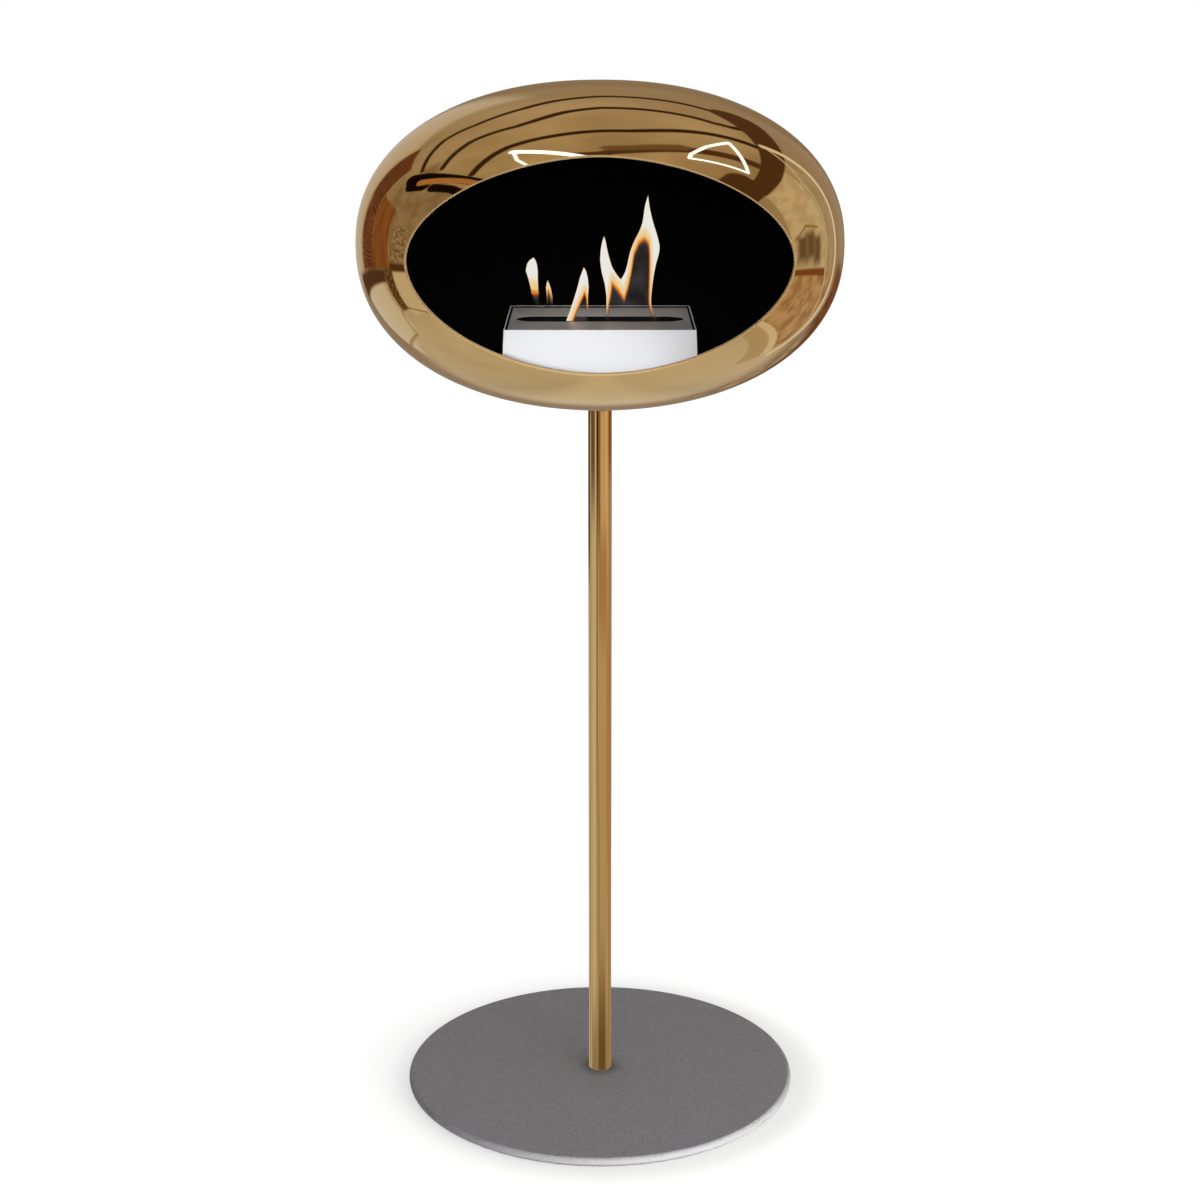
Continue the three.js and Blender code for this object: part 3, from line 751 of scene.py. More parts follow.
def liner_rows(shape, turn):
    """Rings of the liner from the middle of its back, round its mouth and back inside."""
    s = shape.s
    one = np.ones(len(turn))
    rows = [shape.along(turn, one * t, s.wall, BEHIND_LIP) for t in np.linspace(1, 0, LINER_OUTER_ROWS)]
    rows.append(shape.mouth(turn, s.wall + s.liner * 0.5, BEHIND_LIP))
    ways = np.linspace(0, 1, LINER_INNER_ROWS)
    return rows + [shape.along(turn, one * t, s.wall + s.liner, BEHIND_LIP) for t in ways]


def shell(name, shape, columns, make_rows):
    """A closed shell whose rings follow the mouth's outline."""
    all_turns = even_turns(shape, np.arange(columns) / columns)
    rows = np.array(make_rows(shape, all_turns))
    return rolled(
        name, columns, len(rows) - 1,
        lambda row, turn: shape.lifted(rows[row, np.round(turn * columns).astype(int) % columns]),
    )


def exact_normals(obj, shape):
    """Gives the polished surface its exact normals, so that the mirror shows no facets, and marks the satin lip."""
    obj.data.update()
    points, normals = read(obj, "co"), read(obj, "normal")
    off = shape.off_surface(points)
    polished = off < 2e-6
    normals[polished] = shape.normals(points[polished])
    store(obj, "lip", np.select([polished, off < shape.s.lip_rounding], [0.0, 0.4], 1.0))
    obj.data.normals_split_custom_set_from_vertices([tuple(v) for v in normals])


class FIREPLACE_OT_dome(bpy.types.Operator):
    """Models the polished dome with its rounded lip, and the black liner in it"""

    bl_idname = "fireplace.dome"
    bl_label = "Dome"

    def execute(self, context):
        shape = DomeShape(context.scene.fireplace_dome)
        dome = shell("dome_shell", shape, DOME_COLUMNS, dome_rows)
        bored(dome, NECK_BORE, *NECK_HEIGHTS, 48)
        smooth(dome)
        exact_normals(dome, shape)
        finished(dome, "dome", "polished_gold", "dome_upper_skin", "dome_lower_skin", "mouth_lip_ring")
        liner = shell("dome_lining", shape, LINER_COLUMNS, liner_rows)
        bored(liner, NECK_BORE, *NECK_HEIGHTS, 48)
        rounded_by_angle(liner, 50)
        finished(liner, "dome", "black_enamel", "dome_liner")
        return {"FINISHED"}


# ---------- the stand ----------
def at_height(points, height, tolerance=1e-5):
    return all(abs(p.z - height) < tolerance for p in points)


def bevel_ring(obj, height, radius, width, segments):
    """Bevels the round edge of obj at that height and radius."""
    pick(obj, "edges", lambda p: at_height(p, height) and all(abs(math.hypot(v.x, v.y) - radius) < 1e-4 for v in p))
    bpy.ops.mesh.bevel(offset=width, segments=segments, profile=0.5, affect="EDGES")
    mode("OBJECT")


RING_CHAMFER, CAP_CLEARANCE = 0.0004, 0.0003


class FIREPLACE_OT_stand(bpy.types.Operator):
    """Models the floor plate, the pole, the bearing washer and the ring nut under the dome"""

    bl_idname = "fireplace.stand"
    bl_label = "Stand"

    def execute(self, context):
        s = context.scene.fireplace_stand
        plate = cylinder("floor_plate", s.plate_radius, s.plate_low, s.plate_top, 192)
        bevel_ring(plate, s.plate_top, s.plate_radius, s.plate_rounding, 8)
        bevel_ring(plate, s.plate_low, s.plate_radius, s.plate_under_rounding, 6)
        bored(plate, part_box("base_bolt_cap")[1].x + CAP_CLEARANCE, s.plate_low, s.plate_top, 48)
        rounded_by_angle(plate, 40)
        plate.visible_glossy = False
        finished(plate, "stand", "grey_powder_coat", "base_plate")
        pole = (s.pole_radius, s.pole_chamfer, s.pole_radius - s.pole_wall)
        self.turned("pole", "pole_tube", "stand", "polished_gold", pole, 256, 96, 30)
        washer = (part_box("thrust_washer")[1].x, RING_CHAMFER, BUSH_BORE)
        self.turned("bearing_washer", "thrust_washer", "stand", "bronze", washer, 96, 64, 40)
        nut = (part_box("hub_ring_nut")[1].x, RING_CHAMFER, NECK_BORE)
        self.turned("ring_nut", "hub_ring_nut", "dome", "polished_gold", nut, 96, 64, 40)
        return {"FINISHED"}

    def turned(self, name, node, body, slot_name, sizes, steps, bore_steps, degrees):
        """A round piece in a CAD node's place, from its radius, its chamfer and the radius of its bore."""
        radius, chamfer, bore = sizes
        low, high = (corner.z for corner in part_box(node))
        piece = cylinder(name, radius, low, high, steps)
        bevel_ring(piece, low, radius, chamfer, 3)
        bevel_ring(piece, high, radius, chamfer, 3)
        bored(piece, bore, low, high, bore_steps)
        rounded_by_angle(piece, degrees)
        piece.visible_glossy = False
        finished(piece, body, slot_name, node)


# ---------- the burner ----------
def flared_box(name, width, depth, low, high, flare):
    """A box that is flare wider on each side at the bottom."""
    obj = box(name, (-width / 2, -depth / 2, low), (width / 2, depth / 2, high))
    pick(obj, "polygons", lambda p: at_height(p, low))
    bpy.ops.transform.resize(value=((width + 2 * flare) / width, (depth + 2 * flare) / depth, 1))
    mode("OBJECT")
    return obj


NOTCH_HALF_WIDTH, NOTCH_DEPTH = 0.0045, 0.02  # in the plate's front edge, for the damper's tab


def stadium_cutter(length_of_slot, width, low, high):
    """A slot-shaped block: one long round-ended solid to cut with."""
    obj = cylinder("slot_cutter", width / 2, low, high, 96)
    shift = (length_of_slot - width) / 2
    for v in obj.data.vertices:
        v.co.x += shift if v.co.x > 1e-6 else -shift if v.co.x < -1e-6 else 0
    return obj


class FIREPLACE_OT_burner(bpy.types.Operator):
    """Models the burner's bright folded box and its brushed plate with the long slot"""

    bl_idname = "fireplace.burner"
    bl_label = "Burner"

    def execute(self, context):
        s = context.scene.fireplace_burner
        housing = flared_box("burner_box", s.width, s.depth, s.low, s.top, s.flare)
        pick(housing, "edges", lambda p: abs(p[0].z - p[1].z) > (s.top - s.low) / 2)
        bpy.ops.mesh.bevel(offset=s.fold, segments=4, affect="EDGES")
        mode("OBJECT")
        pick(housing, "polygons", lambda p: at_height(p, s.top))
        bpy.ops.mesh.inset(thickness=s.wall)
        bpy.ops.mesh.extrude_region_move(TRANSFORM_OT_translate={"value": (0, 0, s.low + s.wall - s.top)})
        mode("OBJECT")
        eased(housing, 0.0003)
        rounded_by_angle(housing, 30)
        housing.visible_glossy = False
        finished(housing, "burner", "stainless", "burner_housing")
        self.plate(s)
        return {"FINISHED"}

    def plate(self, s):
        half_width, half_depth = s.plate_width / 2, s.plate_depth / 2
        rear = s.depth / 2 - s.wall - s.rear_gap
        plate = box("burner_plate", (-half_width, -half_depth, s.plate_low), (half_width, rear, s.plate_top))
        low, high = s.plate_low - 0.01, s.plate_top + 0.01
        cut(plate, stadium_cutter(s.slot_length, s.slot_width, low, high))
        notch_low = (-NOTCH_HALF_WIDTH, -half_depth - 0.01, low)
        cut(plate, box("notch_cutter", notch_low, (NOTCH_HALF_WIDTH, NOTCH_DEPTH - half_depth, high)))
        eased(plate, 0.00035)
        rounded_by_angle(plate, 30)
        finished(plate, "burner", "brushed_plate", "top_plate")


# ---------- the flames ----------
# Millimetres from the middle of the slot, as (x, height): for each flame the left and right side of its lobes from
# foot to tip, the outlines of its dark core, the height under which it fades, and how tall its warm border is.
FLAMES = {
    "flame_1": (
        [(
            [(-75, 2), (-79.5, 15), (-83.5, 23), (-86, 38), (-89, 50), (-92, 59), (-90, 68), (-86, 73), (-82, 75)],
            [(-68, 2), (-72.5, 15), (-75, 23), (-76.5, 35), (-77, 50), (-77, 59), (-78, 67), (-80, 73), (-82, 75)],
        )],
        [[(-120, 31), (-40, 28), (-40, -20), (-120, -20)]],
        0,
        3.0,
    ),
    "flame_2": (
        [(
            [(-66, 8), (-66, 27), (-67, 38), (-66, 43), (-65, 47)],
            [(-58, 8), (-59, 27), (-61, 37), (-63, 43), (-65, 47)],
        )],
        [[(-64, 33), (-62, 25), (-61, -20), (-64, -20), (-64.5, 25)]],
        6,
        1.6,
    ),
    "flame_3": (
        [(
            [(-42, -3), (-37, 10), (-32, 25), (-28, 38), (-25, 50), (-22, 58), (-20, 63)],
            [(-15, -3), (-15, 27), (-14, 38), (-15, 49), (-17, 58), (-20, 63)],
        )],
        [[(-36, -9), (-30, 6), (-24, 20), (-19, 31), (-17, 24), (-16, 12), (-12, 5), (-12, -20), (-36, -20)]],
        -40,
        1.7,
    ),
    "flame_4": (
        [
            (
                [(8, -3), (8, 14), (8, 27), (6, 42), (2, 57), (0, 72), (1, 86), (3, 96), (5, 101)],
                [(37, -3), (37, 24), (34, 35), (29, 45), (22, 52), (15, 63), (11, 76), (8, 89), (7, 96), (5, 101)],
            ),
            (
                [(20, -3), (20, 30), (22, 42), (26, 48), (31, 56), (34, 67), (37, 82), (42, 95), (50, 110), (53, 121),
                 (55, 138), (59, 151)],
                [(73, -3), (69, 1), (65, 8), (63, 20), (64, 33), (66, 50), (69, 67), (73, 80), (74, 89), (70, 104),
                 (65, 119), (61, 136), (59, 151)],
            ),
        ],
        [
            [(10, -20), (11, 16), (14, 32), (15, 42), (22, 34), (30, 22), (36, 12), (36, -20)],
            [(24, -20), (24, 12), (30, 22), (35, 38), (39, 57), (42, 78), (48, 92), (55, 97), (60, 91), (61, 78),
             (61, 57), (60.5, 35), (60.5, 20), (63, 6), (68, -4), (68, -20)],
        ],
        -12,
        2.4,
    ),
}
FLANK = 0.65  # how wide the warm border is beside a core, against the height given for it above the core
FLAME_COLUMNS, FLAME_ROWS = 48, 72
DEEPEST = 5.0  # millimetres from a flame's middle to its front
RISE = 14  # millimetres of height in which a flame comes up from its fading


def side_at(points, heights):
    """A flame's side at these heights: through its points, with their corners smoothed."""
    x, z = np.array(points, float).T
    fine = np.linspace(z[0], z[-1], 240)
    smooth = np.interp(fine, z, x)
    for _ in range(60):
        smooth[1:-1] = (smooth[:-2] + 2 * smooth[1:-1] + smooth[2:]) / 4
    return np.interp(heights, fine, smooth)


def inside_depth(outline, x, z):
    """How far each point is inside an outline, less than 0 outside it."""
    corners = np.array(outline, float)
    least = np.full(len(x), 1e9)
    inside = np.zeros(len(x), bool)
    for (ax, az), (bx, bz) in zip(corners, np.roll(corners, -1, axis=0)):
        along = np.clip(((x - ax) * (bx - ax) + (z - az) * (bz - az)) / ((bx - ax) ** 2 + (bz - az) ** 2), 0, 1)
        least = np.minimum(least, np.hypot(x - ax - along * (bx - ax), z - az - along * (bz - az)))
        if az != bz:
            crosses = (az > z) != (bz > z)
            inside ^= crosses & (x < (bx - ax) * (z - az) / (bz - az) + ax)
    return np.where(inside, least, -least)


class FIREPLACE_OT_flames(bpy.types.Operator):
    """Models the flames over the slot as thin hollow bodies with a bright rim and a smoky core"""

    bl_idname = "fireplace.flames"
    bl_label = "Flames"

    def execute(self, context):
        foot = context.scene.fireplace_burner.top - 0.001
        for name, (lobes, cores, fade, border) in FLAMES.items():
            flame = self.lobe(name, *lobes[0], foot)
            for sides in lobes[1:]:
                combined(flame, self.lobe("lobe", *sides, foot), "UNION")
            smooth(flame)
            self.mark(flame, lobes, cores, fade, border, foot)
            wear(flame, "flame_gas")
            finished(flame, "burner", None)
        return {"FINISHED"}

    def lobe(self, name, left, right, foot):
        """A flattened hollow body between two sides, closed at its foot and tip."""
        low, high = left[0][1], left[-1][1]
        heights = np.concatenate([[low], np.linspace(low, high, FLAME_ROWS)])
        lefts, rights = side_at(left, heights), side_at(right, heights)
        half = (rights - lefts) / 2
        half[0] = half[-1] = 0
        bulge = np.minimum(half * 0.7, DEEPEST)

        def place(row, turn):
            angle = 2 * np.pi * turn
            x = (rights[row] + lefts[row]) / 2 + half[row] * np.cos(angle)
            return np.stack([x / 1000, bulge[row] * np.sin(angle) / 1000, foot + heights[row] / 1000], axis=1)

        return rolled(name, FLAME_COLUMNS, FLAME_ROWS, place)

    def mark(self, flame, lobes, cores, fade, border, foot):
        """Stores how deep each point lies in the core and behind the outline, and how far it is above its fading."""
        x, _, z = read(flame, "co").T * 1000
        z -= foot * 1000
        shrunk = [[(a / FLANK, b / border) for a, b in outline] for outline in cores]
        core = np.max([inside_depth(outline, x / FLANK, z / border) for outline in shrunk], axis=0)
        edge = np.max([np.minimum(x - side_at(left, z), side_at(right, z) - x) for left, right in lobes], axis=0)
        for key, values in (("core", core), ("edge", edge), ("rise", (z - fade) / RISE)):
            store(flame, key, values)


# ---------- carried-over parts ----------
# Parts inside the burner take a nearly black steel as painted shade, in place of their own finish.
DARKENED = dict.fromkeys(("fuel_tank", "wick_screen", "rail_left", "rail_right"), "sooted_steel")

# The stand's parts, which the dome's underside doesn't mirror: it mirrors the pale floor.
UNMIRRORED = (
    "floor_pad_ring", "base_bolt_cap", "base_bolt", "base_washer", "pole_foot_plug", "pole_head_plug",
    "swivel_spindle",
)


class FIREPLACE_OT_fittings(bpy.types.Operator):
    """Gives every part that is carried over from the solids the finish of its material slot, except the parts inside
    the burner, which get a nearly black painted shade
    """

    bl_idname = "fireplace.fittings"
    bl_label = "Fittings"

    def execute(self, context):
        for row in frame["record"]["subparts"]:
            obj = frame["nodes"][row["node"]]
            wear(obj, DARKENED.get(row["node"], row["material_slot"]))
            obj.visible_glossy = row["node"] not in UNMIRRORED
        return {"FINISHED"}


# ---------- the studio ----------
def toward(azimuth, elevation):
    """A direction: azimuth 0 is towards -Y and grows towards +X, in degrees."""
    a, e = math.radians(azimuth), math.radians(elevation)
    return Vector((math.sin(a) * math.cos(e), -math.cos(a) * math.cos(e), math.sin(e)))


@once
def arc_group():
    """A mask for a straight bar with round ends, seen in a direction: Half Width to each side of its line."""
    tree, n, given, out = new_group(
        "Arc", ("Mask",), direction=None, across=None, start_limit=None, end_limit=None, half_width=0.02, softness=0.006
    )
    off, inside_start, inside_end = (
        n.vector("DOT_PRODUCT", given["Direction"], given[key]) for key in ("Across", "Start Limit", "End Limit")
    )
    beyond = n.least(n.least(inside_start, inside_end), 0.0)
    distance = n.math("SQRT", n.plus(n.times(off, off), n.times(beyond, beyond)))
    start = n.vector("CROSS_PRODUCT", given["Start Limit"], given["Across"])
    same_side = n.vector("DOT_PRODUCT", given["Direction"], start)
    inside = n.least(n.minus(given["Half Width"], distance), same_side)
    n.put(out["Mask"], n.soft(inside, given["Softness"]))
    return tree


@once
def panel_group():
    """A mask for a panel between two azimuths and two elevations, in degrees."""
    tree, n, given, out = new_group(
        "Panel", ("Mask",), azimuth=0.0, elevation=0.0, middle=0.0, half_width=5.0, low=0.0, high=10.0, softness=1.0
    )
    turn = n.minus(given["Azimuth"], given["Middle"])
    wrapped = n.minus(n.math("FLOORED_MODULO", n.plus(turn, 180.0), 360.0), 180.0)
    side = n.minus(given["Half Width"], n.math("ABSOLUTE", wrapped))
    above = n.minus(given["Elevation"], given["Low"])
    below = n.minus(given["High"], given["Elevation"])
    n.put(out["Mask"], n.soft(n.least(side, n.least(above, below)), given["Softness"]))
    return tree


# What the polished metal mirrors, in degrees. Panels: middle azimuth, half width, low, high, softness, colour, and
# where a panel is uneven a second colour with the stretch of its pattern. Bars: half width, softness, colour and the
# points they run through, where a bar of the colour BEAM bends smoothly. Later rows lie over earlier ones.
PANELS = [
    (0, 96, -30, -8, 3, (0.6, 0.49, 0.34)),
    (-62, 21, -30, -8, 5, (0.73, 0.69, 0.6)),
    (-94, 11, -30, -13, 5, (0.6, 0.53, 0.43)),
    (-113, 8, -19.5, -12, 4, (0.37, 0.27, 0.17)),
    (-28, 6.5, -19.5, -8, 3, (0.33, 0.26, 0.17)),
    (-14, 7, -24, -19.5, 3, (0.41, 0.31, 0.2)),
    (-95, 45, -12.4, -4, 2.5, (0.19, 0.12, 0.06)),
    (-46, 6, -30, -4, 2.5, (0.73, 0.69, 0.6)),
    (-28, 6, -12.6, -4, 3, (0.24, 0.17, 0.11)),
    (-23, 7, -12.4, -4, 3, (0.03, 0.012, 0.003)),
    (-6, 10, -13.5, -4, 2, (0.34, 0.18, 0.08)),
    (45, 36, -13.2, -4, 1.5, (0.77, 0.58, 0.38)),
    (30, 5, -13, -4, 3, (0.66, 0.48, 0.29)),
    (74, 6, -13, -4, 3, (0.92, 0.72, 0.5)),
    (38, 30, -15.8, -13.2, 1.5, (0.56, 0.33, 0.16)),
    (0, 8, -15.5, -13.5, 1.5, (0.45, 0.32, 0.2)),
    (92, 13, -11.8, -4, 3, (0.52, 0.3, 0.14)),
    (78, 8, -21.5, -15.5, 3, (0.51, 0.32, 0.17)),
    (92, 9, -21.5, -15, 3, (0.62, 0.38, 0.18)),
    (22, 34, -32, -24, 3, (0.35, 0.26, 0.16)),
    (0, 88, -60, -25.2, 2.4, (0.38, 0.32, 0.22)),
    (22, 36, -60, -25, 2.4, (0.19, 0.13, 0.07)),
    (180, 10, -90, -28, 12, (0.72, 0.66, 0.55)),
    (180, 32, -12, 16, 12, (0.3, 0.21, 0.12)),
    (180, 34, -31, -9, 13, (0.34, 0.26, 0.19)),
    (121, 22, -9, 31, 2, (0.7, 0.61, 0.48), (0.6, 0.49, 0.36), (0.05, 0.1)),
    (153, 10, -8, 27, 3, (0.4, 0.3, 0.21)),
    (135.5, 6.5, -20, 33, 2, (0.42, 0.33, 0.22), (0.54, 0.44, 0.32), (0.4, 0.05)),
    (-104, 22, -9, 40, 5, (0.36, 0.27, 0.18), (0.28, 0.2, 0.12), (0.06, 0.06)),
    (-160, 12, -10, 26, 5, (0.62, 0.53, 0.42)),
    (-140, 7, 8, 28, 1, (0.2, 0.08, 0.035), (0.13, 0.045, 0.018), (0.05, 1.1)),
    (-139, 6.5, -9, 9, 1, (0.24, 0.1, 0.05), (0.11, 0.035, 0.015), (0.05, 1.4)),
    (-124, 8.5, -9, 15, 1, (0.2, 0.07, 0.018), (0.34, 0.14, 0.05), (0.9, 0.03)),
    (-106, 7, -7, 9, 2, (0.2, 0.14, 0.08), (0.4, 0.32, 0.22), (0.25, 0.3)),
    (-106, 9, -10.5, -7, 1, (0.11, 0.045, 0.016)),
    (-138, 14, -33, -14, 2.5, (0.72, 0.68, 0.62)),
    (-138, 17, -14, -9.5, 1.5, (0.1, 0.05, 0.028)),
    (-117, 3.5, -27, -9, 1.5, (0.08, 0.035, 0.014), (0.22, 0.13, 0.07), (0.3, 0.3)),
    (-105, 8, -31, -10, 1.5, (0.7, 0.63, 0.52)),
    (161, 12, -22, -8, 4, (0.24, 0.1, 0.04), (0.15, 0.06, 0.022), (0.1, 0.25)),
    (163, 9, -30, -20, 3, (0.26, 0.17, 0.11), (0.5, 0.4, 0.3), (0.25, 0.2)),
    (119, 23, -37, -10, 1.5, (0.62, 0.44, 0.28), (0.4, 0.25, 0.14), (0.1, 0.07)),
    (114, 16, -11.5, -9, 1, (0.25, 0.09, 0.03)),
    (119, 24, -40, -37, 1, (0.8, 0.72, 0.6)),
    (119, 24, -47, -40, 1.5, (0.56, 0.46, 0.32)),
    (107.5, 4, -6.5, 4, 4.4, (0.18, 0.125, 0.068)),
    (114.5, 3.6, -6, 4.5, 4.2, (0.18, 0.125, 0.068)),
    (120.5, 3, -7.5, 1.5, 3.6, (0.18, 0.125, 0.068)),
]
BEAM = (0.045, 0.022, 0.006)
BROWN = (0.1, 0.048, 0.02)
BARS = [
    (1.4, 0.9, BEAM, [
        (-99, 50), (-112, 56), (-130, 61), (-155, 66), (180, 66), (165, 64), (156, 59), (149, 51), (141, 38),
    ]),
    (1.15, 0.8, BEAM, [(-119, 41), (-141, 46.5), (-156, 51), (-167, 49), (180, 44), (157, 40), (154, 34)]),
    (0.95, 0.7, BEAM, [(-126, 33), (-147, 35), (-156, 38), (-168, 37), (180, 31.5), (162, 30)]),
    (2.6, 1.2, (0.1, 0.05, 0.02), [(-180, 87), (-130, 86), (-112, 83)]),
    (2.2, 1.4, BROWN, [(180, 87), (150, 84), (133, 80), (127, 74), (125, 64), (122, 41)]),
    (2.2, 2.0, (0.2, 0.12, 0.06), [(165, 81), (140, 77), (132, 70), (129, 64)]),
    (5.0, 1.0, BROWN, [(86, 35), (101, 37)]),
    (7.0, 1.5, BROWN, [(84, 44), (96, 44)]),
    (4.6, 0.8, BROWN, [(101, 36), (120, 35.5), (140, 33), (161, 28)]),
    (2.8, 0.7, (0.008, 0.004, 0.001), [(-124, 28), (-118, 34), (-104, 43), (-84, 50)]),
    (4.0, 0.7, (0.008, 0.004, 0.001), [(-120, 28), (-114, 32)]),
    (2.6, 0.7, (0.01, 0.005, 0.002), [(-106, 34), (-95, 39), (-84, 40)]),
    (1.7, 0.7, (0.5, 0.24, 0.085), [(-117, 31), (-106, 40), (-95, 46), (-84, 49)]),
    (1.1, 0.8, (0.95, 0.88, 0.76), [(143, 35), (142.5, 10), (142, 0), (144, -20), (146, -36)]),
    (0.5, 0.6, (0.75, 0.66, 0.55), [(142, 34), (131, 22), (130, -8), (140, -24)]),
    (0.5, 0.9, (0.34, 0.22, 0.12), [(102, 3), (112, 8), (122, 5)]),
    (0.4, 0.9, (0.4, 0.3, 0.2), [(-152, -28), (-131, -35), (-122, -26)]),
    (0.4, 0.6, (0.3, 0.24, 0.16), [(-114, -26), (-98, -32)]),
]
ROOM_STRENGTH = 0.9
GLOW = (2.6, 3.2, 4.6)  # brighter than white, like a lamp
GLOWING = [
    (0.5, 0.5, [(-121, 64), (-104, 66), (-84, 68.5)]),
    (1.3, 1.0, [(-121, 64), (-119, 74), (-104, 85)]),
    (0.6, 0.5, [(109.5, 64), (110, 44), (124, 46.5), (139.5, 47), (132, 56), (118, 63), (109.5, 64)]),
]


def room_colour(n):
    """The colour of the surroundings that polished metal mirrors."""
    direction = n.add("ShaderNodeTexCoord").outputs["Generated"]
    parts = n.parts(direction)
    azimuth = n.math("DEGREES", n.math("ARCTAN2", parts["X"], n.times(parts["Y"], -1.0)))
    elevation = n.math("DEGREES", n.math("ARCSINE", parts["Z"]))
    cloud = n.between(n.noise(direction, 2.2), 0.3, 0.7)
    ceiling = n.mix(cloud, (0.4, 0.3, 0.19), (0.56, 0.44, 0.3))
    wall = n.mix(cloud, (0.34, 0.25, 0.15), (0.43, 0.33, 0.215))
    floor = n.mix(cloud, (0.54, 0.48, 0.38), (0.66, 0.6, 0.5))
    lit = n.times(n.between(azimuth, 92.0, 118.0), n.between(azimuth, 180.0, 140.0))
    floor = n.mix(lit, floor, (0.68, 0.62, 0.52))
    tone = n.mix(n.between(elevation, 22.0, 48.0), wall, ceiling)
    tone = n.mix(n.between(elevation, -9.0, -16.0), tone, floor)
    for panel in PANELS:
        tone = n.mix(*panel_paint(n, azimuth, elevation, tone, *panel))
    for half, softness, paint, points in BARS:
        tone = n.mix(bar_mask(n, direction, half, softness, points, smooth=paint == BEAM), tone, paint)
    lamps = 0.0
    for half, softness, points in GLOWING:
        lamps = n.most(bar_mask(n, direction, half, softness, points), lamps)
    return n.mix(lamps, tone, GLOW)


def panel_paint(n, azimuth, elevation, tone, middle, half, low, high, softness, paint, other=None, stretch=(0, 0)):
    """Mask, what lies under it and the panel's own colour."""
    mask = n.group(
        panel_group(), azimuth=azimuth, elevation=elevation, middle=float(middle), half_width=float(half),
        low=float(low), high=float(high), softness=float(softness),
    )["Mask"]
    if other:
        x, y = n.times(azimuth, stretch[0]), n.times(elevation, stretch[1])
        place = n.add("ShaderNodeCombineXYZ", {"X": x, "Y": y, "Z": float(middle)}).outputs[0]
        paint = n.mix(n.between(n.noise(place, 2.0), 0.38, 0.62), paint, other)
    return mask, tone, paint


def curved(path):
    """Adds a direction in the middle of each step, so that a bent line runs smoothly."""
    ends = [path[0] * 2 - path[1], *path, path[-1] * 2 - path[-2]]
    smooth = [path[0]]
    for before, a, b, after in zip(ends, ends[1:], ends[2:], ends[3:]):
        smooth += [((a + b) * 9 - before - after).normalized(), b]
    return smooth


def bar_mask(n, direction, half, softness, points, smooth=False):
    """One mask for a bent bar through these directions."""
    mask = None
    path = [toward(*point) for point in points]
    path = curved(path) if smooth else path
    for start, end in zip(path, path[1:]):
        across = start.cross(end).normalized()
        piece = n.group(
            arc_group(), direction=direction, across=across[:],
            start_limit=across.cross(start).normalized()[:], end_limit=end.cross(across).normalized()[:],
            half_width=math.radians(half), softness=math.radians(softness),
        )["Mask"]
        mask = piece if mask is None else n.most(mask, piece)
    return mask


# The camera that was solved from the photo: place, degrees below level, and its lens on a 36 mm sensor.
CAMERA_PLACE, CAMERA_TILT, CAMERA_LENS = (0, -2.8145, 1.4115), 14.828, 67.99
FACE_MIDDLE = (-0.035, -0.112, 0.995)  # what the narrow spot shines on: the burner's face
FACE_BEAM, FACE_BEAM_FLATNESS = 9.8, 0.37  # degrees across, and its height against that


def lamp_toward(name, kind, target, offset, watts):
    """A lamp that stands at an offset from its target, shines on it and isn't mirrored."""
    deselect()
    bpy.ops.object.light_add(type=kind, location=offset + Vector(target))
    lamp = bpy.context.active_object
    lamp.name = name
    lamp.rotation_euler = (-offset).to_track_quat("-Z", "Y").to_euler()
    lamp.data.energy = watts
    lamp.visible_glossy = False
    return lamp


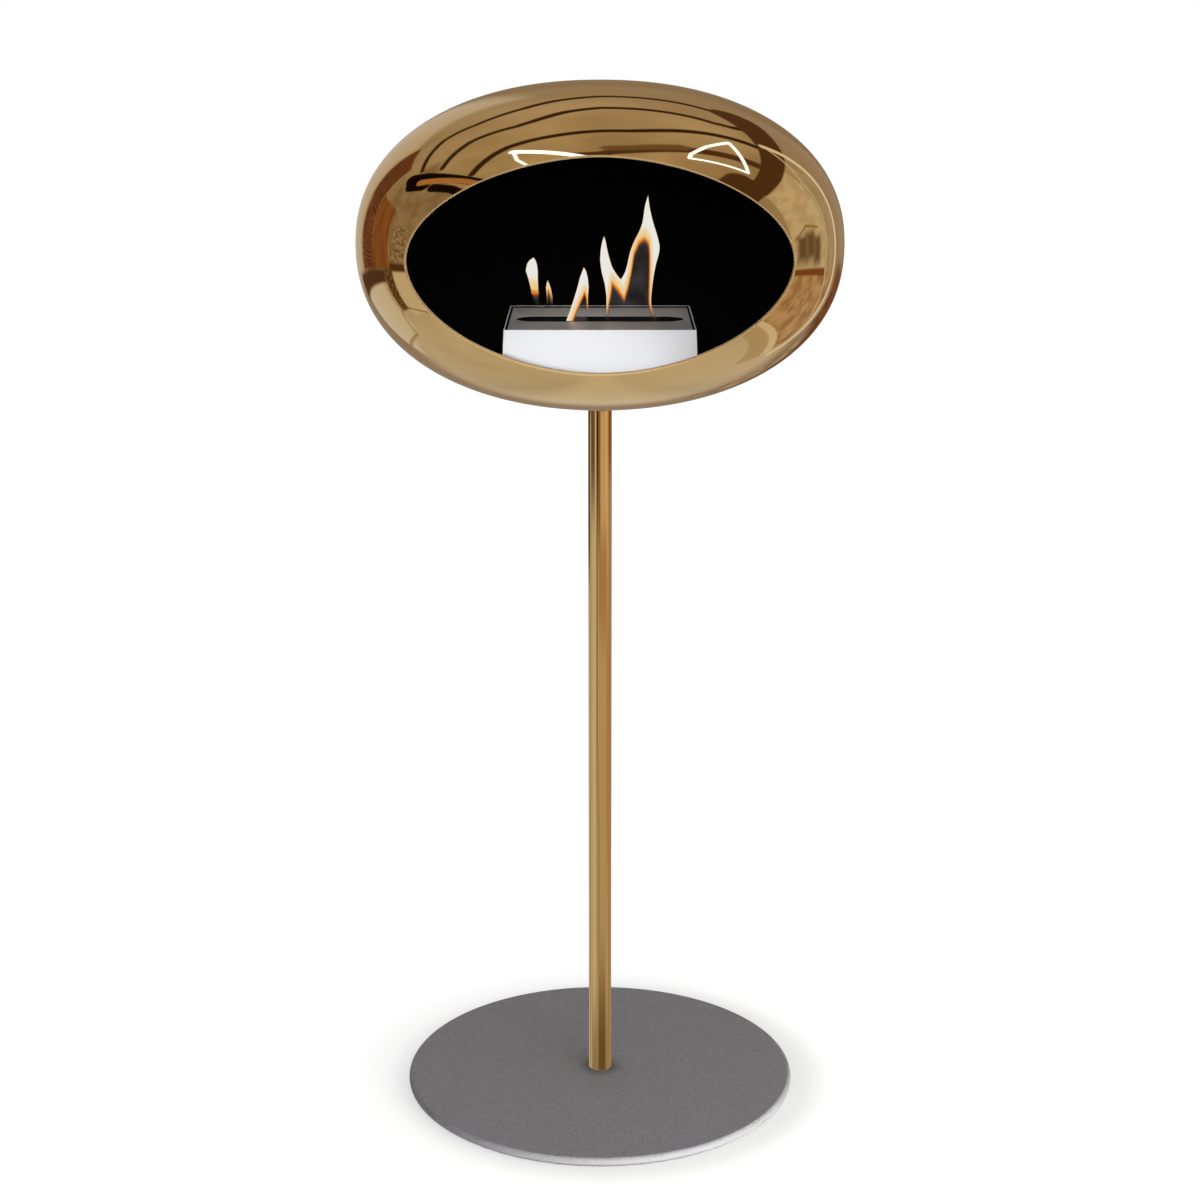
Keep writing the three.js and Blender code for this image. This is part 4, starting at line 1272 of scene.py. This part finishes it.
class FIREPLACE_OT_studio(bpy.types.Operator):
    """Sets up the camera, the white floor, the lamps and the surroundings that the metal mirrors"""

    bl_idname = "fireplace.studio"
    bl_label = "Studio"

    def execute(self, context):
        s = context.scene.fireplace_studio
        context.scene.view_settings.view_transform = "Standard"
        self.camera(context.scene)
        self.floor(s)
        self.lamps(s)
        self.surroundings(context.scene, s)
        return {"FINISHED"}

    def camera(self, scene):
        deselect()
        bpy.ops.object.camera_add(location=CAMERA_PLACE, rotation=(math.radians(90 - CAMERA_TILT), 0, 0))
        camera = bpy.context.active_object
        camera.name = "camera"
        camera.data.sensor_width = 36
        camera.data.lens = CAMERA_LENS
        camera.data.clip_start = 0.05
        scene.camera = camera

    def floor(self, s):
        """White to the camera, darker and unlit close round the plate by painted shade, and clear for a camera below
        it.
        """
        deselect()
        bpy.ops.mesh.primitive_grid_add(x_subdivisions=8, y_subdivisions=8, size=24, location=(0, 0, 0))
        floor = named("studio_floor")
        material, n, look, place = blank_material("studio_floor")
        seen = n.add("ShaderNodeLightPath").outputs["Is Camera Ray"]
        # The plate's painted soft shade: a wide faint ring, and a narrow one that stands out on the right.
        away = n.vector("LENGTH", place)
        aside = n.vector("LENGTH", n.vector("ADD", place, (-0.013, 0.0, 0.0)))
        painted_floor_shade = n.times(n.between(away, 0.25, 0.42, 0.84, 1.0), n.between(aside, 0.256, 0.31, 0.85, 1.0))
        haze = shades(n, n.noise(place, 2.0), s.white, 0.8, 0.82)
        n.fill(look, {
            "Base Color": n.mix(seen, haze, n.mix(painted_floor_shade, (0, 0, 0), scaled(s.white, 0.36))),
            "Emission Color": n.mix(seen, (0, 0, 0), n.mix(painted_floor_shade, (0, 0, 0), scaled(s.white, 0.82))),
            "Emission Strength": 1.0,
            "Roughness": 1.0,
            "Specular IOR Level": 0.0,
        })
        below = n.times(n.add("ShaderNodeNewGeometry").outputs["Backfacing"], seen)
        clear = n.add("ShaderNodeBsdfTransparent").outputs[0]
        painted, output = (n.tree.nodes[name] for name in ("Principled BSDF", "Material Output"))
        both = n.add("ShaderNodeMixShader", {0: below, 1: painted.outputs[0], 2: clear}).outputs[0]
        n.put(output.inputs["Surface"], both)
        floor.data.materials.append(material)
        floor.visible_glossy = False

    def lamps(self, s):
        for name, target, offset, size, watts, tint, spread in (
            ("key_lamp", (0, 0, 0.75), toward(62, 12) * 4.2, (2.6, 2.6), s.key_light, (1, 1, 1), 180),
            ("front_lamp", (0, 0, 0.75), toward(4, 26) * 4.2, (2.6, 2.6), s.front_light, (1, 1, 1), 180),
            ("rim_lamp", (0, 0, 0.09), toward(34, 0) * 1.9, (0.9, 0.08), s.rim_light, (1, 0.985, 0.87), 60),
            ("flame_lamp", (0, 0.035, 1.03), toward(180, 80) * 0.15, (0.2, 0.08), s.flame_light, (1, 0.97, 0.93), 180),
        ):
            lamp = lamp_toward(name, "AREA", target, offset, watts)
            lamp.data.shape = "RECTANGLE"
            lamp.data.size, lamp.data.size_y = size
            lamp.data.color = tint
            lamp.data.spread = math.radians(spread)
        # A narrow spot through the mouth on the burner's face, which stands in the dome's shade.
        spot = lamp_toward("face_lamp", "SPOT", FACE_MIDDLE, toward(-4, 9) * 2.2, s.face_light)
        spot.scale.y = FACE_BEAM_FLATNESS
        spot.data.spot_size = math.radians(FACE_BEAM)
        spot.data.spot_blend = 0.55
        spot.data.shadow_soft_size = 0.05

    def surroundings(self, scene, s):
        world = bpy.data.worlds.new("surroundings")
        scene.world = world
        world.use_nodes = True
        world.node_tree.nodes.clear()
        n = Nodes(world.node_tree)
        path = n.add("ShaderNodeLightPath").outputs
        soft = n.add("ShaderNodeBackground", {"Color": (1, 1, 1, 1), "Strength": s.soft_light}).outputs[0]
        room = n.add("ShaderNodeBackground", {"Color": room_colour(n), "Strength": ROOM_STRENGTH}).outputs[0]
        white = n.add("ShaderNodeBackground", {"Color": (*s.white, 1), "Strength": 1.0}).outputs[0]
        lit = n.add("ShaderNodeMixShader", {0: path["Is Glossy Ray"], 1: soft, 2: room}).outputs[0]
        seen = n.most(path["Is Camera Ray"], path["Is Transmission Ray"])
        whole = n.add("ShaderNodeMixShader", {0: seen, 1: lit, 2: white}).outputs[0]
        n.add("ShaderNodeOutputWorld", {"Surface": whole})


class FIREPLACE_PT_panel(bpy.types.Panel):
    """Lists the fireplace's pieces and their sizes and colours"""

    bl_idname = "FIREPLACE_PT_panel"
    bl_label = "Fireplace"
    bl_space_type = "VIEW_3D"
    bl_region_type = "UI"
    bl_category = "Fireplace"

    def draw(self, context):
        for operator in OPERATORS:
            self.layout.operator(operator.bl_idname)
        for name, group in SETTINGS.items():
            column = self.layout.box().column()
            for key in group.__annotations__:
                column.prop(getattr(context.scene, name), key, text=key.replace("_", " ").capitalize())


OPERATORS = (
    FIREPLACE_OT_studio,
    FIREPLACE_OT_fittings,
    FIREPLACE_OT_stand,
    FIREPLACE_OT_dome,
    FIREPLACE_OT_burner,
    FIREPLACE_OT_flames,
)


def register():
    for cls in (*SETTINGS.values(), *OPERATORS, FIREPLACE_PT_panel):
        bpy.utils.register_class(cls)
    for name, group in SETTINGS.items():
        setattr(bpy.types.Scene, name, bpy.props.PointerProperty(type=group))


def unregister():
    for name in SETTINGS:
        delattr(bpy.types.Scene, name)
    for cls in (FIREPLACE_PT_panel, *reversed(OPERATORS), *SETTINGS.values()):
        bpy.utils.unregister_class(cls)


def main():
    register()
    bpy.ops.fireplace.studio()
    bpy.ops.fireplace.fittings()
    bpy.ops.fireplace.stand()
    bpy.ops.fireplace.dome()
    bpy.ops.fireplace.burner()
    bpy.ops.fireplace.flames()


if __name__ == "__main__":
    main()
